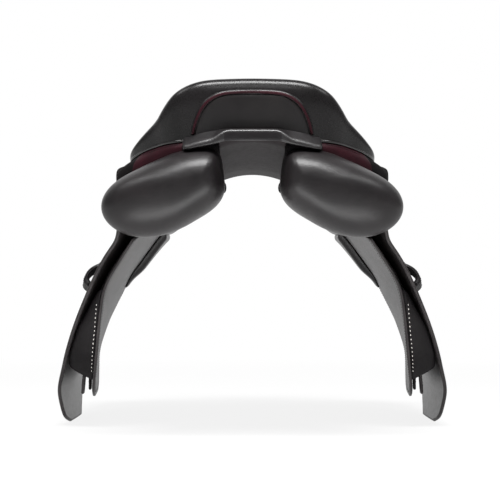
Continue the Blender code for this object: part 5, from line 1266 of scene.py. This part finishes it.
def punched(z, outer, normal):
    # A ring of leather round each hole down the strap's middle
    low, high = strap["bottom"] + strap["holeLow"], strap["guard"][0] - strap["holeHigh"]
    holes = np.arange(low, high, strap["holeStep"])
    middle = strap["columns"] // 2
    centres, ups = (np.stack([np.interp(holes, z, grid[:, middle, k]) for k in range(3)], axis=1)
                    for grid in (outer, normal))
    spin = np.linspace(0, 2 * np.pi, 18, endpoint=False)[:, None]
    rings = []
    for centre, up in zip(centres, ups):
        run = unit(np.cross(up, (0, 1, 0)))
        loop = centre + strap["hole"] * (run * np.cos(spin) + np.cross(up, run) * np.sin(spin))
        rings.append(tube(loop, up, roundProfile(strap["holeEdge"], 6), closed=True))
    return joined(rings)


def makeStraps():
    # The strap's half width shrinks to its tip with a quarter circle, from all of it to 0.35
    z = np.linspace(strap["bottom"] + 0.001, strap["top"], 160)
    tip = np.clip((z - strap["bottom"]) / strap["tip"], 0, 1)
    half = (0.5 * strap["width"] - strap["edge"]) * (0.35 + 0.65 * np.sqrt(tip * (2 - tip)))
    seen = int(np.searchsorted(z, strap["guard"][0] - 0.007))     # hidden by the guard above this
    for end, sign in (("rear", -0.5), ("front", 0.5)):
        inner = strapInner(z, half, strap["middle"] + sign * strap["spacing"])
        normal = gridNormals(inner, (1, 0, 0))
        outer = inner + normal * strap["wall"]
        body = f"girth_strap_{end}_*"
        newPair(f"girthStrap_{end}_*", sheet(outer, strap["wall"], (1, 0, 0)), "strap under edge",
                "strap_leather", [body], body)
        rows = [(outer[6:seen, k], normal[6:seen, k]) for k in (1, strap["columns"] - 2)]
        newPair(f"girthStitches_{end}_*", stitches(rows), "thread", "strap_leather", body=body)
        newPair(f"girthHoles_{end}_*", punched(z, outer, normal), "edge", "strap_leather", body=body)


def makeGuards():
    # The buckle guard lies over both straps, and the web that carries them goes up behind the flap
    middle, half, (low, high) = strap["middle"], strap["guardHalf"], strap["guard"]
    y, z = layerGrid(middle - half, middle + half, low + 0.001, high - 0.001, 40, 70)
    under = strapFace(y, z) + slanted(strapFace, y, z, strap["wall"]) + strap["guardGap"]
    over = flapInner(y, z) - strap["guardClear"]
    guard = np.minimum(under + slanted(strapFace, y, z, strap["guardWall"]), over)
    outer = softened(grid3(guard, y, z), 4)
    newPair("buckleGuard_*", sheet(outer, strap["guardWall"] * 0.96, (1, 0, 0)), "strap under edge",
            "strap_leather", ["buckle_guard_*"])
    rows = [edgeRows(outer, gridNormals(outer, (1, 0, 0)), strap["guardMargin"])]
    newPair("guardStitches_*", stitches(rows), "thread", "strap_leather")
    y, z = layerGrid(middle - strap["webHalf"], middle + strap["webHalf"], *strap["web"], 30, 30)
    web = softened(grid3(flapInner(y, z) - strap["webGap"], y, z), 2)
    newPair("girthWeb_*", sheet(web, strap["webWall"], (1, 0, 0)), "web", "webbing", ["girth_web_*"])


keeper = {
    "y": -0.060, "z": (0.1858, 0.2170), "width": 0.014, "edge": 0.0022, "lean": 0.007,
    "foot": 0.0042, "out": 0.0096, "holeFoot": 0.0008, "holeRise": 0.0080, "holeShare": 0.70,
    "pitch": 0.0032, "stitch": 0.0022,
}


def makeKeepers():
    # A folded loop that leans forwards and down: its outside is a wide arch over the flap, its hole
    # a smaller one; each arch is 1 minus a power of the way from its middle
    low, high = keeper["z"]
    t = np.linspace(-1, 1, 60)
    across = np.linspace(-0.5, 0.5, 15)
    outside = keeper["foot"] + keeper["out"] * np.clip(1 - np.abs(t) ** 3.0, 0, 1)
    inside = np.clip(1 - (np.abs(t) / keeper["holeShare"]) ** 2.0, 0, 1)
    hole = keeper["holeFoot"] + keeper["holeRise"] * inside
    y = keeper["y"] + np.broadcast_to(across[None] * (keeper["width"] - keeper["edge"]), (60, 15))
    z = (0.5 * (low + high) + 0.5 * (high - low) * t)[:, None] - across[None] * keeper["lean"]
    face, slope = flapFace(y, z), slanted(flapFace, y, z, 1.0)
    inner = softened(grid3(face + hole[:, None] * slope, y, z), 1)
    outer = softened(grid3(face + outside[:, None] * slope, y, z), 2)
    normal = gridNormals(outer, (1, 0, 0))
    newPair("keeper_*Loop", sheet(outer, inner=inner), "strap", "strap_leather", ["keeper_*"], "flap_*")
    rows = [(outer[3:-3, k], normal[3:-3, k]) for k in (1, 13)]
    newPair("keeperStitches_*", stitches(rows, keeper["pitch"], keeper["stitch"]), "thread", "strap_leather",
            body="flap_*")


makeStraps()
makeGuards()
makeKeepers()
print("straps ready")

tabs = {
    "x": 0.0366, "y": -0.150, "z": 0.3180, "rise": 0.0034, "tall": 0.0140, "wall": 0.0030, "width": 0.0070,
    "pitch": 0.0030, "stitch": 0.0022, "thick": 0.0004, "mark": (0.0010, -0.0002, 0),    # off the fold
}


def makeTabs():
    # A strip folded into half an ellipse against the channel's wall, with its pale thread across the fold
    a = np.linspace(-0.5, 0.5, 25) * np.pi
    y = tabs["y"] + np.linspace(-0.5, 0.5, 9) * tabs["width"]

    def arch(less):
        x = tabs["x"] - (tabs["rise"] - less) * np.cos(a)
        z = tabs["z"] + (0.5 * tabs["tall"] - less) * np.sin(a)
        return grid3(*np.broadcast_arrays(x[:, None], y[None], z[:, None]))

    outer = arch(0.0)
    newPair("panelTab_*", sheet(outer, inner=arch(tabs["wall"])), "strap", "strap_leather", ["panel_tab_*"])
    rows = [(outer[8:15, 0] + tabs["mark"], np.array([0, -1.0, 0]))]
    newPair("tabStitches_*", stitches(rows, tabs["pitch"], tabs["stitch"], tabs["thick"]), "whiteThread",
            "strap_leather")


makeTabs()
print("tabs ready")

# CAD pieces whose shape is right keep it and take a finish

finishes = {
    "steel": ("stirrup_bar_", "stirrup_catch_", "head_nail_", "head_arch"),
    "darkSteel": ("dee_left", "dee_right"),
    "strap": ("dee_chape_",), "tree": ("tree",), "foam": ("seat_foam",), "web": ("seat_webbing",),
}
for look, starts in finishes.items():
    for name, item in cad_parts.items():
        if name.startswith(starts):
            for slot in item.material_slots:
                slot.material = looks[look]
print("CAD pieces finished")

# Studio: pale floor and backdrop, camera behind the saddle, soft light

studio = {
    "eye": (0.0, -2.465, 0.238), "focal": 129.8, "shift": -0.0046, "floor": "#e8e8e8", "world": 0.26,
    "depth": 4.0, "half": 6.0, "under": -0.0008, "sweep": 1.2, "wall": (3.0, 6.0),
    # place, aim, width, height, power, seen by the camera; the table lifts the undersides, as its white
    # top does
    "lamps": {"overhead": ((0.0, -0.70, 1.66), (0, -0.20, 0.40), 1.2, 0.38, 56, True),
              "leftSoft": ((-1.10, -0.30, 1.50), (-0.05, -0.15, 0.38), 0.5, 0.5, 5, True),
              "rightSoft": ((1.10, -0.30, 1.50), (0.05, -0.15, 0.38), 0.5, 0.5, 5, True),
              "rearSoft": ((0.0, -2.40, 1.90), (0, -0.10, 0.30), 1.0, 0.3, 8, True),
              "lightTable": ((0.0, -0.42, 0.01), (0, -0.30, 0.30), 0.8, 0.3, 3.6, False)},
}


def paperWhite():
    # White to the camera, gloss and glass; near the saddle a little of it is matt, so its shadow shows
    material, tree, shader, place = newLook("white paper sweep", {"Roughness": 0.9,
                                                                  "Base Color": fromHex(studio["floor"])})
    rays = addNode(tree, "LightPath", {})
    seen = rays.outputs["Is Camera Ray"]
    for kind in ("Is Glossy Ray", "Is Transmission Ray"):
        seen = addNode(tree, "Math", {0: seen, 1: rays.outputs[kind]}, operation="MAXIMUM").outputs[0]
    away = addNode(tree, "VectorMath", {0: place}, operation="LENGTH")
    far = addNode(tree, "MapRange", {"Value": away.outputs["Value"], "From Min": 0.5, "From Max": 1.5,
                                     "To Min": 0.86, "To Max": 1.0})
    share = addNode(tree, "Math", {0: seen, 1: far.outputs[0]}, operation="MULTIPLY")
    glow = addNode(tree, "Emission", {"Color": grey(1.0), "Strength": 1.0})
    mix = addNode(tree, "MixShader", {0: share.outputs[0], 1: shader.outputs[0], 2: glow.outputs[0]})
    wire(tree, tree.nodes["Material Output"], {"Surface": mix.outputs[0]})
    return material


def makeFloor():
    # The floor runs back and sweeps up into the backdrop along a quarter ellipse
    depth, sweep, under = studio["depth"], studio["sweep"], studio["under"]
    t = np.linspace(0, 1, 40)
    turn = (t - 0.6) / 0.4 * np.pi / 2
    back = np.where(t < 0.6, -depth + t / 0.6 * 2 * depth, depth + sweep * np.sin(turn))
    up = np.where(t < 0.6, under, sweep * (1 - np.cos(turn)) + under)
    back, up = np.concatenate([back, [depth + sweep] * 2]), np.concatenate([up, studio["wall"]])
    grid = grid3(*np.broadcast_arrays(np.array([-1, 1]) * studio["half"], back[:, None], up[:, None]))
    mesh = bpy.data.meshes.new("floor")
    mesh.from_pydata(grid.reshape(-1, 3).tolist(), [], quadGrid(*grid.shape[:2]).tolist())
    mesh.shade_smooth()
    mesh.materials.append(paperWhite())
    floor = bpy.data.objects.new("floor", mesh)
    bpy.context.scene.collection.objects.link(floor)


def makeStudio():
    # World, camera and lamps
    scene = bpy.context.scene
    scene.world = bpy.data.worlds.new("studio")
    scene.world.use_nodes = True
    tree = scene.world.node_tree
    wire(tree, tree.nodes["Background"], {"Color": grey(1.0), "Strength": studio["world"]})
    camera = bpy.data.cameras.new("camera")
    camera.lens, camera.sensor_width, camera.shift_x = studio["focal"], 36.0, studio["shift"]
    scene.camera = bpy.data.objects.new("camera", camera)
    scene.camera.location, scene.camera.rotation_euler = studio["eye"], (math.radians(90), 0, 0)
    scene.collection.objects.link(scene.camera)
    for name, (place, aim, width, height, power, seen) in studio["lamps"].items():
        lamp = bpy.data.lights.new(name, "AREA")
        lamp.shape, lamp.size, lamp.size_y, lamp.energy = "RECTANGLE", width, height, power
        item = bpy.data.objects.new(name, lamp)
        item.location, item.visible_camera = place, seen
        item.rotation_euler = (Vector(aim) - Vector(place)).to_track_quat("-Z", "Y").to_euler()
        scene.collection.objects.link(item)
    scene.view_settings.view_transform = "Standard"


makeFloor()
makeStudio()
print("studio ready")
